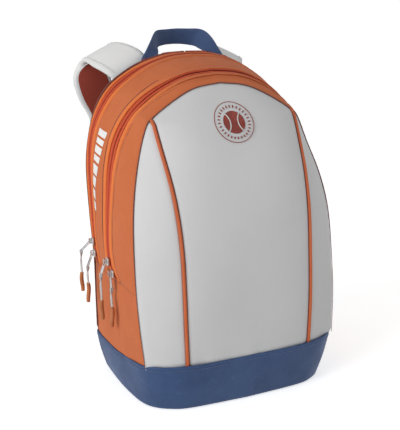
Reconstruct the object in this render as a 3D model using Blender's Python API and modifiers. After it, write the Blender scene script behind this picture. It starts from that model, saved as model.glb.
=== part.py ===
"""A two-compartment racket backpack: arched front, two zips over the top, coated base, two shoulder straps.

Frame: metres, +Z up, front towards -Y. The origin is the middle of the base's flat underside.
Each physical piece is one object. Moving pieces have their origin on their joint's axis.
"""
import math

import bmesh
import bpy
import numpy as np
from mathutils import Matrix, Vector

MM = 0.001

# ---------------------------------------------------------------- driving dimensions, in millimetres
GAP = 0.4             # clearance between pieces that touch
CLOTH = 2.5           # padded outer fabric, foam backing included
SIDE_SEAM_Z = 157.0   # both zips end here, and the plain side panels start
BACK_Y = 115.0        # plane of the back seam
FRONT_ZIP_Y = 42.0
ZIP_HALF = 5.2        # width of one zip tape
PIPING_R = 2.4
SEAM_PIPING_R = 1.7
BINDING_R = 1.9
ARCH_STEPS = 40       # samples along a strip that runs over the top
CROWN = 3.4           # exponent of the front panel's cross-section
WEBBING_T = 1.6
STRAP_T = 8.0
BADGE_Z = 353.5
BADGE_R = 26.5
BADGE_LEAN = 0.86     # its height in z over its width, because the panel leans back
HANDLE_HINGE = (0.0, 121.5, 415.0)
STRAP_HINGE = (71.0, 127.0, 420.0)
BUCKLE_HINGE = (83.0, 149.0, 159.0)

# Half outlines on the +X side, from the bottom up. Each is a smooth curve through a few points.
FRONT_SEAM = [(136.5, -58, 62), (140.5, -52, 115), (141.5, -45, 160), (139.5, -35, 225), (132.5, -23, 272),
              (119, -8, 318), (107, -2, 351), (97, 1.5, 361), (66, 6, 380), (36, 10, 393), (0, 11, 398)]
FRONT_ZIP = [(142, 16, 157), (144.6, 29, 168), (145.2, 38, 184), (144.2, 42, 214), (142, 42, 258),
             (138.5, 42, 295), (131, 41, 328), (116, 40, 356), (95, 38, 378), (67, 36, 396), (36, 34.5, 408),
             (0, 34, 412)]
MAIN_ZIP = [(140, 92, 157), (141.2, 97, 173), (142.2, 100, 195), (144, 100, 235), (146, 100, 280),
            (144, 100, 318), (135, 100, 350), (116, 100, 380), (93, 100, 399), (63, 100, 415),
            (31, 100, 424.5), (0, 100, 427)]
BACK_SEAM = [(135.5, 115, 52), (136.2, 115, 100), (137, 115, 157), (141.5, 115, 220), (144, 115, 285),
             (139, 115, 327), (129.5, 115, 360), (115, 115, 384), (96, 115, 400), (68, 115, 415),
             (36, 115, 424), (0, 115, 426)]
# Half width of the centre panel (x, z), and the panel's centre line (y, z).
PIPING_X = [(87, 55), (89, 111), (89.7, 160), (90.2, 205), (93, 266), (97, 318), (98.8, 345), (99, 362)]
CENTRE_Y = [(-82.5, 55), (-83, 100), (-82, 150), (-78, 205), (-71, 250), (-59, 293), (-43, 330), (-24, 360),
            (-6, 380), (11, 398)]
# Half outlines (x, y) of the base, from the middle of the back to the middle of the front.
BASE_FLOOR = [(0, 114), (60, 114), (114, 114), (127, 110), (131, 88), (134, 40), (133.5, 0),
              (130.5, -29), (122, -47.5), (105, -61.5), (78, -70.5), (0, -74.5)]
BASE_RIM = [(0, 115), (60, 115), (122, 115), (135.5, 112.5), (139, 95), (139.5, 40), (138.5, -5), (136.5, -46),
            (124, -65), (101, -76), (64, -82.5), (0, -83)]
# The carry handle: webbing between a top edge and a bottom edge, left half.
HANDLE_TOP = [(-62, 121.5, 412), (-60, 121.5, 420), (-53, 122.5, 431), (-46, 124, 442), (-39, 129, 451),
              (-31, 136, 455), (-15, 141.5, 455.5), (0, 143, 456)]
HANDLE_LOW = [(-38, 121.5, 417), (-36, 124, 424), (-33, 130, 427), (-30.5, 137, 429.5), (-28.5, 142.5, 431.5),
              (-23, 149, 433), (-12, 153, 434.5), (0, 154, 435)]
# Each shoulder strap's two edges, from its root down to the buckle. The right one lies lower over the top.
STRAP_INNER = {
    "left": [(-47, 128.5, 416), (-56, 137.5, 430.5), (-69, 151, 437), (-80, 164, 437), (-85.5, 173, 428),
             (-87, 177, 402), (-79, 178.5, 378), (-68, 178.5, 350), (-60, 176, 305), (-58, 170, 255),
             (-61, 162, 205), (-69, 154, 168)],
    "right": [(47, 128.5, 416), (52, 138, 425), (59, 151, 427), (66, 164, 425.5), (71.5, 172.5, 416),
              (76, 176.5, 396), (75, 178.5, 376), (68, 178.5, 350), (60, 176, 305), (58, 170, 255),
              (61, 162, 205), (69, 154, 168)],
}
STRAP_OUTER = {
    "left": [(-95, 127.5, 391), (-107, 138.5, 403), (-117, 153, 410), (-125, 165, 414.5), (-131, 174, 407),
             (-137.5, 178, 391), (-131, 179.5, 364), (-118, 179.5, 336), (-109, 177, 298), (-105, 171, 252),
             (-104, 163, 204), (-97, 155, 166)],
    "right": [(95, 127.5, 391), (101, 138.5, 400), (107, 152, 404.5), (113, 165, 405), (119, 173.5, 397),
              (126, 178, 382), (125, 179.5, 360), (118, 179.5, 336), (109, 177, 298), (105, 171, 252),
              (104, 163, 204), (97, 155, 166)],
}
# Zip pulls on the -X side: name, zip, slider z, cord length, tilt outwards and swing to the rear at rest.
PULLS = [
    ("main_a", MAIN_ZIP, 185.0, 25.0, 40.0, 18.0),
    ("main_b", MAIN_ZIP, 169.0, 18.0, 26.0, -10.0),
    ("front_a", FRONT_ZIP, 176.0, 30.0, 15.0, 12.0),
    ("front_b", FRONT_ZIP, 163.0, 20.0, 0.0, -12.0),
]
TAPE_GAP = 1.2        # between a slider and the zip tape under it
PULLER_EYE = 19.0     # from the slider's hinge down to the cord's eye
TAB_END = 22.0        # and to the pull tab's end
GRIP_LENGTH = 27.0
GRIP_R = 2.75
CORD_R = 1.4


# ---------------------------------------------------------------- scene and materials
for old in list(bpy.data.objects):
    bpy.data.objects.remove(old, do_unlink=True)

bag = bpy.data.collections.new("racket_backpack")
bpy.context.scene.collection.children.link(bag)
cutters = bpy.data.collections.new("cutters")
bpy.context.scene.collection.children.link(cutters)


def material(name, colour, roughness, metallic=0.0):
    made = bpy.data.materials.new(name)
    made.use_nodes = True
    shader = made.node_tree.nodes["Principled BSDF"]
    shader.inputs["Base Color"].default_value = (*colour, 1.0)
    shader.inputs["Roughness"].default_value = roughness
    shader.inputs["Metallic"].default_value = metallic
    made.diffuse_color = (*colour, 1.0)
    return made


LOOKS = {
    "orange_fabric": ((0.50, 0.18, 0.07), 0.85, 0.0),
    "white_fabric": ((0.72, 0.72, 0.72), 0.75, 0.0),
    "navy_coated": ((0.05, 0.10, 0.21), 0.55, 0.0),
    "navy_webbing": ((0.04, 0.07, 0.15), 0.80, 0.0),
    "clay_piping": ((0.45, 0.12, 0.04), 0.70, 0.0),
    "zip_tape": ((0.50, 0.06, 0.02), 0.80, 0.0),
    "clay_lining": ((0.20, 0.03, 0.02), 0.85, 0.0),
    "metal": ((0.60, 0.60, 0.62), 0.30, 1.0),
    "white_cord": ((0.80, 0.80, 0.80), 0.80, 0.0),
    "clay_grip": ((0.45, 0.14, 0.07), 0.55, 0.0),
    "navy_plastic": ((0.03, 0.05, 0.10), 0.45, 0.0),
    "board": ((0.10, 0.10, 0.10), 0.80, 0.0),
}


def finish(obj, look, name=None):
    """Puts the object in the bag's collection with a material of its own."""
    obj.name = name or obj.name
    for owner in list(obj.users_collection):
        owner.objects.unlink(obj)
    bag.objects.link(obj)
    obj.data.materials.clear()
    obj.data.materials.append(material(f"{obj.name}_{look}", *LOOKS[look]))
    return obj


# ---------------------------------------------------------------- curves
def smooth(points, steps):
    """Points evenly spaced along a Catmull-Rom curve through the given points."""
    p = np.array(points, float)
    ends = np.vstack([2 * p[0] - p[1], p, 2 * p[-1] - p[-2]])
    fine = []
    for i in range(1, len(ends) - 2):
        a, b, c, d = ends[i - 1:i + 3]
        for u in np.linspace(0, 1, 24, endpoint=False):
            fine.append(0.5 * (2 * b + (c - a) * u + (2 * a - 5 * b + 4 * c - d) * u ** 2
                               + (3 * b - a - 3 * c + d) * u ** 3))
    fine.append(p[-1])
    fine = np.array(fine)
    along = np.concatenate([[0], np.cumsum(np.linalg.norm(np.diff(fine, axis=0), axis=1))])
    at = np.linspace(0, along[-1], steps)
    return np.stack([np.interp(at, along, fine[:, k]) for k in range(p.shape[1])], axis=1)


def mirrored(half):
    """A curve and its mirror image across x = 0, where the half curve ends."""
    other = half[:-1][::-1] * np.array([-1, 1, 1])
    return np.vstack([half, other])


def from_height(half, z):
    """The part of a half curve above height z, starting exactly there."""
    fine = smooth(half, 400)
    low = np.array([np.interp(z, fine[:120, 2], fine[:120, k]) for k in range(3)])
    return np.vstack([low, fine[fine[:, 2] > z + 0.5]])


def arch(half, z=SIDE_SEAM_Z, steps=ARCH_STEPS):
    """A whole arch over the top with evenly spaced points, from +X to -X."""
    return mirrored(smooth(from_height(half, z)[::4], steps // 2 + 1))


SEAM_HALF = smooth(FRONT_SEAM, 200)
CENTRE = smooth(CENTRE_Y, 100)
PIPE = smooth(PIPING_X, 100)


def seam_at(z):
    """(x, y) of the front seam at height z."""
    return np.interp(z, SEAM_HALF[:, 2], SEAM_HALF[:, 0]), np.interp(z, SEAM_HALF[:, 2], SEAM_HALF[:, 1])


def piping_x(z):
    return np.interp(z, PIPE[:, 1], PIPE[:, 0])


def panel_y(x, z):
    """The crowned front surface."""
    edge_x, edge_y = seam_at(z)
    middle = np.interp(z, CENTRE[:, 1], CENTRE[:, 0])
    share = min(1.0, abs(x) / max(edge_x, 1e-6))
    return middle + (edge_y - middle) * share ** CROWN


def outward(point):
    """The direction away from the bag's middle, across Y."""
    away = np.array([point[0], 0.0, max(point[2] - 250.0, 0.0)])
    return away / max(np.linalg.norm(away), 1e-6)


def between(a, b, from_a, from_b, columns, bulge):
    """Rows of points from arch a to arch b, starting from_a mm past a and stopping from_b mm before b."""
    rows = []
    for p, q in zip(a, b):
        long = np.linalg.norm(q - p)
        row = []
        for s in np.linspace(from_a / long, 1 - from_b / long, columns):
            row.append(p + (q - p) * s + outward(p + (q - p) * s) * bulge * 4 * s * (1 - s))
        rows.append(row)
    return rows


# ---------------------------------------------------------------- solids
def new_object(name, mesh, look):
    obj = bpy.data.objects.new(name, mesh)
    bag.objects.link(obj)
    return finish(obj, look)


def sheet(name, rows, thickness, look, offset=-1.0):
    """An open surface through rows of points, thickened."""
    bm = bmesh.new()
    grid = [[bm.verts.new(Vector(p) * MM) for p in row] for row in rows]
    for lower, upper in zip(grid, grid[1:]):
        for i in range(len(lower) - 1):
            bm.faces.new((lower[i], lower[i + 1], upper[i + 1], upper[i]))
    mesh = bpy.data.meshes.new(name)
    bm.to_mesh(mesh)
    bm.free()
    mesh.shade_smooth()
    obj = new_object(name, mesh, look)
    solid = obj.modifiers.new("Solidify", "SOLIDIFY")
    solid.thickness = thickness * MM
    solid.offset = offset
    return obj


def tube(name, points, radius, look, sides=2):
    """A round cord or piping along a list of points."""
    curve = bpy.data.curves.new(name, "CURVE")
    curve.dimensions = "3D"
    curve.bevel_depth = radius * MM
    curve.bevel_resolution = sides
    curve.use_fill_caps = True
    line = curve.splines.new("POLY")
    line.points.add(len(points) - 1)
    for target, p in zip(line.points, points):
        target.co = (*(Vector(p) * MM), 1.0)
    return new_object(name, curve, look)


def plate(name, outline, y_front, y_back, look):
    """A flat plate across Y with the given (x, z) outline."""
    bm = bmesh.new()
    face = bm.faces.new([bm.verts.new((x * MM, y_back * MM, z * MM)) for x, z in outline])
    bmesh.ops.recalc_face_normals(bm, faces=[face])
    grown = bmesh.ops.extrude_face_region(bm, geom=[face])["geom"]
    moved = [g for g in grown if isinstance(g, bmesh.types.BMVert)]
    bmesh.ops.translate(bm, verts=moved, vec=(0, (y_front - y_back) * MM, 0))
    bmesh.ops.recalc_face_normals(bm, faces=bm.faces)
    mesh = bpy.data.meshes.new(name)
    bm.to_mesh(mesh)
    bm.free()
    return new_object(name, mesh, look)


def block(name, low, high, look, bevel=0.0, collection=None):
    """A box between two corners, with rounded edges."""
    bpy.ops.mesh.primitive_cube_add(size=1.0)
    obj = bpy.context.object
    low, high = Vector(low) * MM, Vector(high) * MM
    obj.data.transform(Matrix.LocRotScale((low + high) / 2, None, high - low))
    obj.location = (0, 0, 0)
    finish(obj, look, name)
    if bevel:
        rounded = obj.modifiers.new("Bevel", "BEVEL")
        rounded.width = bevel * MM
        rounded.segments = 2
    if collection:
        bag.objects.unlink(obj)
        collection.objects.link(obj)
        obj.hide_render = True
        obj.display_type = "WIRE"
    return obj


def boolean(obj, other, operation):
    step = obj.modifiers.new("Boolean", "BOOLEAN")
    step.operation = operation
    step.object = other
    step.solver = "EXACT"


def inset(points, distance):
    """An (x, z) or (x, y) outline moved inwards by distance."""
    p = np.array(points, float)
    ahead = np.roll(p, -1, axis=0) - np.roll(p, 1, axis=0)
    normal = np.stack([-ahead[:, 1], ahead[:, 0]], axis=1)
    normal /= np.maximum(np.linalg.norm(normal, axis=1, keepdims=True), 1e-9)
    middle = p.mean(axis=0)
    facing = np.sign(((middle - p) * normal).sum(axis=1, keepdims=True))
    return p + normal * facing * distance


def squared(outline, height):
    """An inset arch whose two feet stand straight down to a height."""
    outline[0] = (outline[1, 0], height)
    outline[-1] = (outline[-2, 0], height)
    return outline


# ---------------------------------------------------------------- base
def base_ring(share, grow, height):
    """A closed ring of points between the floor outline and the rim outline."""
    low = smooth([(x, y, 0) for x, y in BASE_FLOOR], 33)
    high = smooth([(x, y, 0) for x, y in BASE_RIM], 33)
    half = low + (high - low) * share
    ring = np.vstack([half, half[1:-1][::-1] * np.array([-1, 1, 1])])
    ring[:, :2] = inset(ring[:, :2], -grow)
    ring[:, 2] = [height(p) for p in ring]
    return ring


def rim_height(p):
    """The base's top edge: level in front, falling a little towards the back."""
    return float(np.interp(p[1], [-60.0, 30.0], [62.0, 50.0]))


def make_base():
    rings = [base_ring(0.0, -7.0, lambda p: 0.0), base_ring(0.0, -2.4, lambda p: 1.2),
             base_ring(0.0, 0.0, lambda p: 6.0)]
    for share in (0.35, 0.7, 1.0):
        rings.append(base_ring(share, 0.0, lambda p, s=share: 6.0 + (rim_height(p) - 6.0) * s))
    bm = bmesh.new()
    grid = [[bm.verts.new(Vector(p) * MM) for p in ring] for ring in rings]
    bm.faces.new(grid[0])
    for lower, upper in zip(grid, grid[1:]):
        for i in range(len(lower)):
            j = (i + 1) % len(lower)
            bm.faces.new((lower[i], lower[j], upper[j], upper[i]))
    bmesh.ops.recalc_face_normals(bm, faces=bm.faces)
    if sum(f.normal.z * f.calc_area() for f in bm.faces) > 0:
        bmesh.ops.reverse_faces(bm, faces=bm.faces)
    mesh = bpy.data.meshes.new("base_shell")
    bm.to_mesh(mesh)
    bm.free()
    obj = new_object("base_shell", mesh, "navy_coated")
    solid = obj.modifiers.new("Solidify", "SOLIDIFY")
    solid.thickness = CLOTH * MM
    solid.offset = -1.0
    board = inset(base_ring(0.0, 0.0, lambda p: 0.0)[::2, :2], 11.0)
    flat = plate("base_board", board, 0.0, 2.0, "board")
    flat.data.transform(Matrix.Rotation(math.radians(-90), 4, "X"))
    flat.location = (0, 0, (CLOTH + GAP + 2.0) * MM)


# ---------------------------------------------------------------- sides, back and gussets
def make_side_panel(name, side):
    """The plain panel under the zips, from the front seam round to the back seam."""
    rim = smooth([(x, y, 0) for x, y in BASE_RIM], 200)
    rim = rim[rim[:, 1] < 113.0]
    rows = []
    for up in np.linspace(0, 1, 5):
        row = []
        for across in np.linspace(0, 1, 9):
            foot_y = -55.0 + across * (112.0 + 55.0)
            top_y = -42.0 + across * (112.0 + 42.0)
            foot_x = np.interp(-foot_y, -rim[:, 1], rim[:, 0])
            top_x = 141.2 + 2.2 * math.sin(math.pi * min(1.0, across * 1.05))
            foot_z = rim_height((0, foot_y)) + 2 * GAP + 0.3
            top_z = SIDE_SEAM_Z - GAP - 0.3
            bulge = 1.6 * math.sin(math.pi * up)
            x = foot_x + (top_x - foot_x) * up + bulge
            row.append((side * x, foot_y + (top_y - foot_y) * up, foot_z + (top_z - foot_z) * up))
        rows.append(row if side > 0 else row[::-1])
    return sheet(name, rows, CLOTH, "orange_fabric")


def make_back():
    seam = mirrored(smooth(BACK_SEAM, 25))
    tube("back_seam_binding", seam, BINDING_R, "clay_lining")
    outline = seam[:, [0, 2]]
    outline = squared(inset(outline, BINDING_R + 1.6), 52.5)
    plate("back_panel", outline, BACK_Y - 1.0, BACK_Y + 5.0, "navy_webbing")
    for name, side in (("back_pad_left", -1), ("back_pad_right", 1)):
        corners = [(22, 118), (34, 106), (96, 106), (108, 118), (112, 200), (112, 300), (100, 352),
                   (60, 372), (30, 372), (22, 352)]
        outline = [(side * x, z) for x, z in corners]
        pad = plate(name, outline, BACK_Y + 5.0 + GAP, BACK_Y + 14.0, "navy_webbing")
        rounded = pad.modifiers.new("Bevel", "BEVEL")
        rounded.width = 3.0 * MM
        rounded.segments = 2


def make_gussets_and_zips():
    front_seam = arch(FRONT_SEAM)
    front_zip = arch(FRONT_ZIP)
    main_zip = arch(MAIN_ZIP)
    back_seam = arch(BACK_SEAM)
    edge = ZIP_HALF + GAP + 0.2
    past_piping = SEAM_PIPING_R + GAP + 0.6
    sheet("front_gusset", between(front_seam, front_zip, past_piping, edge, 5, 1.5), CLOTH, "orange_fabric")
    sheet("middle_gusset", between(front_zip, main_zip, edge, edge, 5, 1.5), CLOTH, "orange_fabric")
    past_binding = BINDING_R + GAP + 0.3
    sheet("back_gusset", between(main_zip, back_seam, edge, past_binding, 3, 0.0), CLOTH, "orange_fabric")
    half_gap = 0.35
    for name, a, b, first in (
        ("front_zip_front_half", front_seam, front_zip, False),
        ("front_zip_rear_half", front_zip, main_zip, True),
        ("main_zip_front_half", front_zip, main_zip, False),
        ("main_zip_rear_half", main_zip, back_seam, True),
    ):
        rows = []
        for p, q in zip(a, b):
            long = np.linalg.norm(q - p)
            share = [half_gap / long, ZIP_HALF / long]
            if not first:
                share = [1 - ZIP_HALF / long, 1 - half_gap / long]
            rows.append([p + (q - p) * s for s in share])
        sheet(name, rows, 1.6, "zip_tape")


def make_divider():
    """The wall between the two compartments, in a lower part and a part that leans with the flap."""
    y = FRONT_ZIP_Y + ZIP_HALF + 3.0
    lower = [(-116, 8), (116, 8), (131, 60), (133, SIDE_SEAM_Z - 4), (-133, SIDE_SEAM_Z - 4), (-131, 60)]
    plate("divider_lower", lower, y, y + 1.5, "clay_lining")
    upper = arch(FRONT_ZIP, SIDE_SEAM_Z + 3)[::2, [0, 2]]
    upper = squared(inset(upper, 6.0), SIDE_SEAM_Z + 2)
    plate("divider_upper", upper, y, y + 1.5, "clay_lining")


# ---------------------------------------------------------------- front
def panel_rows(heights, from_x, to_x, columns):
    """Rows of points on the crowned front between two edges that depend on the height."""
    rows = []
    for z in heights:
        xs = np.linspace(from_x(z), to_x(z), columns)
        rows.append([(x, panel_y(x, z), z) for x in xs])
    return rows


def make_front():
    beside = PIPING_R + GAP + 0.2
    inside_seam = SEAM_PIPING_R + CLOTH + GAP
    low = np.linspace(63.0 + GAP, SIDE_SEAM_Z - 1.0, 5)
    high = np.linspace(SIDE_SEAM_Z + 1.0, 337.0, 9)
    for tag, heights in (("lower", low), ("upper", high)):
        for side, hand in ((-1, "left"), (1, "right")):
            def near(z, s=side):
                return s * (piping_x(z) + beside)

            def far(z, s=side):
                return s * (seam_at(z)[0] - inside_seam)
            edges = (near, far) if side > 0 else (far, near)
            sheet(f"front_wedge_{hand}_{tag}", panel_rows(heights, *edges, 4), CLOTH, "white_fabric")
            top = 64.0 if tag == "lower" else SIDE_SEAM_Z + 0.4
            end = SIDE_SEAM_Z - 0.4 if tag == "lower" else 346.0
            line = [(side * piping_x(z), panel_y(piping_x(z), z) - 0.6, z) for z in np.linspace(top, end, 14)]
            tube(f"panel_piping_{hand}_{tag}", line, PIPING_R, "clay_piping")
    lower = panel_rows(low, lambda z: beside - piping_x(z), lambda z: piping_x(z) - beside, 9)
    sheet("front_centre_lower", lower, CLOTH, "white_fabric")
    columns = []
    for share in np.linspace(-1, 1, 15):
        x_top = share * (99.0 - beside)
        seam_z = np.interp(abs(x_top), SEAM_HALF[100:, 0][::-1], SEAM_HALF[100:, 2][::-1])
        top = float(seam_z) - inside_seam * 0.8
        column = []
        for z in np.linspace(SIDE_SEAM_Z + 1.0, top, 13):
            x = share * (piping_x(z) - beside)
            column.append((x, panel_y(x, z), z))
        columns.append(column)
    rows = [[column[i] for column in columns] for i in range(13)]
    sheet("front_centre_upper", rows, CLOTH, "white_fabric")
    half = [(seam_at(z)[0], seam_at(z)[1], z) for z in np.linspace(63.0, SIDE_SEAM_Z - 1.0, 7)]
    for side, hand in ((-1, "left"), (1, "right")):
        line = [(side * x, y, z) for x, y, z in half]
        tube(f"seam_piping_{hand}_lower", line, SEAM_PIPING_R, "clay_lining")
    tube("seam_piping_upper", arch(FRONT_SEAM, SIDE_SEAM_Z + 1.0), SEAM_PIPING_R, "clay_lining")


def make_badge():
    """A round embroidered badge that follows the panel."""
    rows = []
    for radius in (0.0, BADGE_R / 2, BADGE_R):
        row = []
        for turn in np.linspace(0, 2 * math.pi, 24, endpoint=False):
            x = radius * math.sin(turn)
            z = BADGE_Z + radius * math.cos(turn) * BADGE_LEAN
            row.append((x, panel_y(x, z) - 0.6, z))
        rows.append(row)
    bm = bmesh.new()
    hub = bm.verts.new(Vector(rows[0][0]) * MM)
    inner = [bm.verts.new(Vector(p) * MM) for p in rows[1]]
    outer = [bm.verts.new(Vector(p) * MM) for p in rows[2]]
    for i in range(24):
        j = (i + 1) % 24
        bm.faces.new((hub, inner[j], inner[i]))
        bm.faces.new((inner[i], inner[j], outer[j], outer[i]))
    bmesh.ops.recalc_face_normals(bm, faces=bm.faces)
    if sum(f.normal.y for f in bm.faces) > 0:
        bmesh.ops.reverse_faces(bm, faces=bm.faces)
    mesh = bpy.data.meshes.new("front_badge")
    bm.to_mesh(mesh)
    bm.free()
    obj = new_object("front_badge", mesh, "clay_grip")
    solid = obj.modifiers.new("Solidify", "SOLIDIFY")
    solid.thickness = 0.8 * MM
    solid.offset = 1.0


# ---------------------------------------------------------------- handle and straps
def on_axis(obj, point):
    """Moves an object's origin to a point without moving its shape."""
    place = Vector(point) * MM
    obj.data.transform(Matrix.Translation(-place))
    obj.location = place


def make_handle():
    top = smooth(HANDLE_TOP, 13)
    low = smooth(HANDLE_LOW, 13)
    top = np.vstack([top, top[:-1][::-1] * np.array([-1, 1, 1])])
    low = np.vstack([low, low[:-1][::-1] * np.array([-1, 1, 1])])
    rows = [[tuple(a), tuple((a + b) / 2), tuple(b)] for a, b in zip(top, low)]
    obj = sheet("carry_handle", rows, WEBBING_T, "navy_webbing", offset=0.0)
    on_axis(obj, HANDLE_HINGE)


def make_strap(hand, side):
    inner = smooth(STRAP_INNER[hand], 22)
    outer = smooth(STRAP_OUTER[hand], 22)
    rows = []
    for a, b in zip(inner, outer):
        row = [tuple(a + (b - a) * s) for s in (0.0, 0.5, 1.0)]
        rows.append(row if side < 0 else row[::-1])
    strap = sheet(f"shoulder_strap_{hand}", rows, STRAP_T, "white_fabric", offset=0.0)
    on_axis(strap, (side * STRAP_HINGE[0], *STRAP_HINGE[1:]))


def make_buckle(hand, side):
    """A ladder-lock buckle under the strap's end, the adjuster webbing below it and its free tail."""
    x = side * BUCKLE_HINGE[0]
    frame = block(f"ladder_lock_{hand}", (x - 16, 146.5, 137.0), (x + 16, 151.5, 161.0), "navy_plastic", 1.0)
    for place in (139.5, 145.0, 151.0):
        slot = block(f"slot_{hand}_{place:.0f}", (x - 13, 140, place), (x + 13, 158, place + 3.4),
                     "navy_plastic", collection=cutters)
        boolean(frame, slot, "DIFFERENCE")
    on_axis(frame, (x, *BUCKLE_HINGE[1:]))
    low = [(side * 117.0, 124.5, 66.0), (side * 112.0, 128.0, 80.0), (side * 100.0, 138.0, 108.0),
           (x + side * 2.0, 147.0, 135.5)]
    ribbon(f"adjuster_webbing_{hand}", low, 24.0, side)
    tail = [(x, 153.5, 146.0), (x, 155.5, 136.0), (x, 156.0, 110.0), (x, 155.0, 86.0)]
    ribbon(f"webbing_tail_{hand}", tail, 24.0, side)
    corners = [(side * 134.0, 56.0), (side * 134.0, 96.0), (side * 104.0, 82.0), (side * 104.0, 60.0),
               (side * 110.0, 56.0)]
    plate(f"anchor_tab_{hand}", corners, BACK_Y + 5.0 + GAP, BACK_Y + 7.4, "navy_webbing")


def ribbon(name, points, width, side):
    """Flat webbing along points, with its width across X and its face towards the back."""
    line = smooth(points, 10)
    rows = [[(p[0] - width / 2, p[1], p[2]), (p[0] + width / 2, p[1], p[2])] for p in line]
    return sheet(name, rows, WEBBING_T, "navy_webbing", offset=0.0)


# ---------------------------------------------------------------- zip pulls
def slider_mesh(name):
    """The slider with its bridge. Its origin is on the puller's hinge axis, and outwards is -X."""
    body = block(name, (1.6, -4.0, -6.0), (4.7, 4.0, 4.0), "metal", 0.8)
    bridge = block(f"{name}_bridge", (-2.7, -0.8, -3.4), (2.4, 0.8, 3.4), "metal", collection=cutters)
    hole = block(f"{name}_hole", (-1.5, -3.0, -2.2), (1.6, 3.0, 2.2), "metal", collection=cutters)
    boolean(body, bridge, "UNION")
    boolean(body, hole, "DIFFERENCE")
    return [body, bridge, hole]


def puller_mesh(name):
    """A flat pull tab with a slot for the bridge and an eye for the cord."""
    tab = block(name, (-0.6, -3.1, -TAB_END), (0.6, 3.1, 0.6), "metal", 0.3)
    slot = block(f"{name}_slot", (-2.0, -2.3, -6.5), (2.0, 2.3, -0.6), "metal", collection=cutters)
    eye = block(f"{name}_eye", (-2.0, -1.5, -PULLER_EYE - 1.7), (2.0, 1.5, 1.7 - PULLER_EYE), "metal",
                collection=cutters)
    boolean(tab, slot, "DIFFERENCE")
    boolean(tab, eye, "DIFFERENCE")
    return [tab, slot, eye]


def place_all(objects, matrix):
    for obj in objects:
        obj.matrix_world = matrix @ obj.matrix_world


def turned(name, profile, look):
    """A turned piece round Z from (radius, z) points, listed from the top down."""
    mesh = bpy.data.meshes.new(name)
    edges = [(i, i + 1) for i in range(len(profile) - 1)]
    mesh.from_pydata([(r * MM, 0, z * MM) for r, z in profile], edges, [])
    obj = new_object(name, mesh, look)
    screw = obj.modifiers.new("Screw", "SCREW")
    screw.steps = 12
    screw.render_steps = 12
    screw.use_merge_vertices = True
    screw.merge_threshold = 0.00005
    screw.use_smooth_shade = True
    return obj


def make_pull(name, zip_line, z, cord, tilt, swing):
    fine = smooth(zip_line, 400)
    tape_x, tape_y = [float(np.interp(z - 1.0, fine[:160, 2], fine[:160, k])) for k in (0, 1)]
    hinge = Vector((-tape_x - TAPE_GAP - 4.7, tape_y, z))
    place_all(slider_mesh(f"slider_{name}"), Matrix.Translation(hinge * MM))
    turn = Matrix.Rotation(math.radians(tilt), 4, "Y") @ Matrix.Rotation(math.radians(swing), 4, "X")
    place_all(puller_mesh(f"puller_{name}"), Matrix.Translation(hinge * MM) @ turn)
    eye = Vector((0, 0, -PULLER_EYE))
    eye.rotate(turn.to_quaternion())
    at = hinge + eye
    start = -(TAB_END - PULLER_EYE) - 2.0
    line = [(0, 0, start), (0, 0, start - cord / 2), (0, 0, start - cord)]
    strand = tube(f"pull_cord_{name}", line, CORD_R, "white_cord")
    grip_top = start - cord - GAP
    profile = [(0, 0), (1.6, -0.1), (2.3, -0.8), (GRIP_R, -2.5), (GRIP_R, 3.0 - GRIP_LENGTH),
               (2.3, 0.8 - GRIP_LENGTH), (1.4, -GRIP_LENGTH), (0, -GRIP_LENGTH)]
    grip = turned(f"pull_grip_{name}", [(r, grip_top + h) for r, h in profile], "clay_grip")
    place_all([strand, grip], Matrix.Translation(at * MM))


make_base()
make_side_panel("side_panel_left", -1)
make_side_panel("side_panel_right", 1)
make_back()
make_gussets_and_zips()
make_divider()
make_front()
make_badge()
make_handle()
for strap_hand, strap_side in (("left", -1), ("right", 1)):
    make_strap(strap_hand, strap_side)
    make_buckle(strap_hand, strap_side)
for pull in PULLS:
    make_pull(*pull)
bpy.context.view_layer.update()
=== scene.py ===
"""The racket backpack's looks: lofted fabric, zips, stitching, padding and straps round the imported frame.

Lengths are in millimetres in the design values below and become metres in `mesh_from`. Front is -Y.
"""

import math

import bmesh
import bpy
import numpy as np
from mathutils import Matrix, Vector


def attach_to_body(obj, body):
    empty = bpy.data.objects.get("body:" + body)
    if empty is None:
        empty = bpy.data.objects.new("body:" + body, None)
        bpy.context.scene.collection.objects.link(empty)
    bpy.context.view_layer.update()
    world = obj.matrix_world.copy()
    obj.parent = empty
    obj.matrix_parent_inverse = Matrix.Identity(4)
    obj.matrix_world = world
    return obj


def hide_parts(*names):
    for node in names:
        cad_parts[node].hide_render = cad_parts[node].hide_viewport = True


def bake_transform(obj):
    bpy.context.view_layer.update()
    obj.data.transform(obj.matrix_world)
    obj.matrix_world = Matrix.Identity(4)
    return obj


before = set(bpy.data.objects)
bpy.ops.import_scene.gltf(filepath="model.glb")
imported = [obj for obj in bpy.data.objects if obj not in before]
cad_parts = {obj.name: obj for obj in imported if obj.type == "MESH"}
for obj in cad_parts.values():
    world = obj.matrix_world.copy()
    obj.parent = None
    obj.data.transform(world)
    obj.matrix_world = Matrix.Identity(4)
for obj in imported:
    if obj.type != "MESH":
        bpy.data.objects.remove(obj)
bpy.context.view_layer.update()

MM = 0.001
HANDS = (("left", -1), ("right", 1))
MIRROR = np.array([-1, 1, 1])

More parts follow.
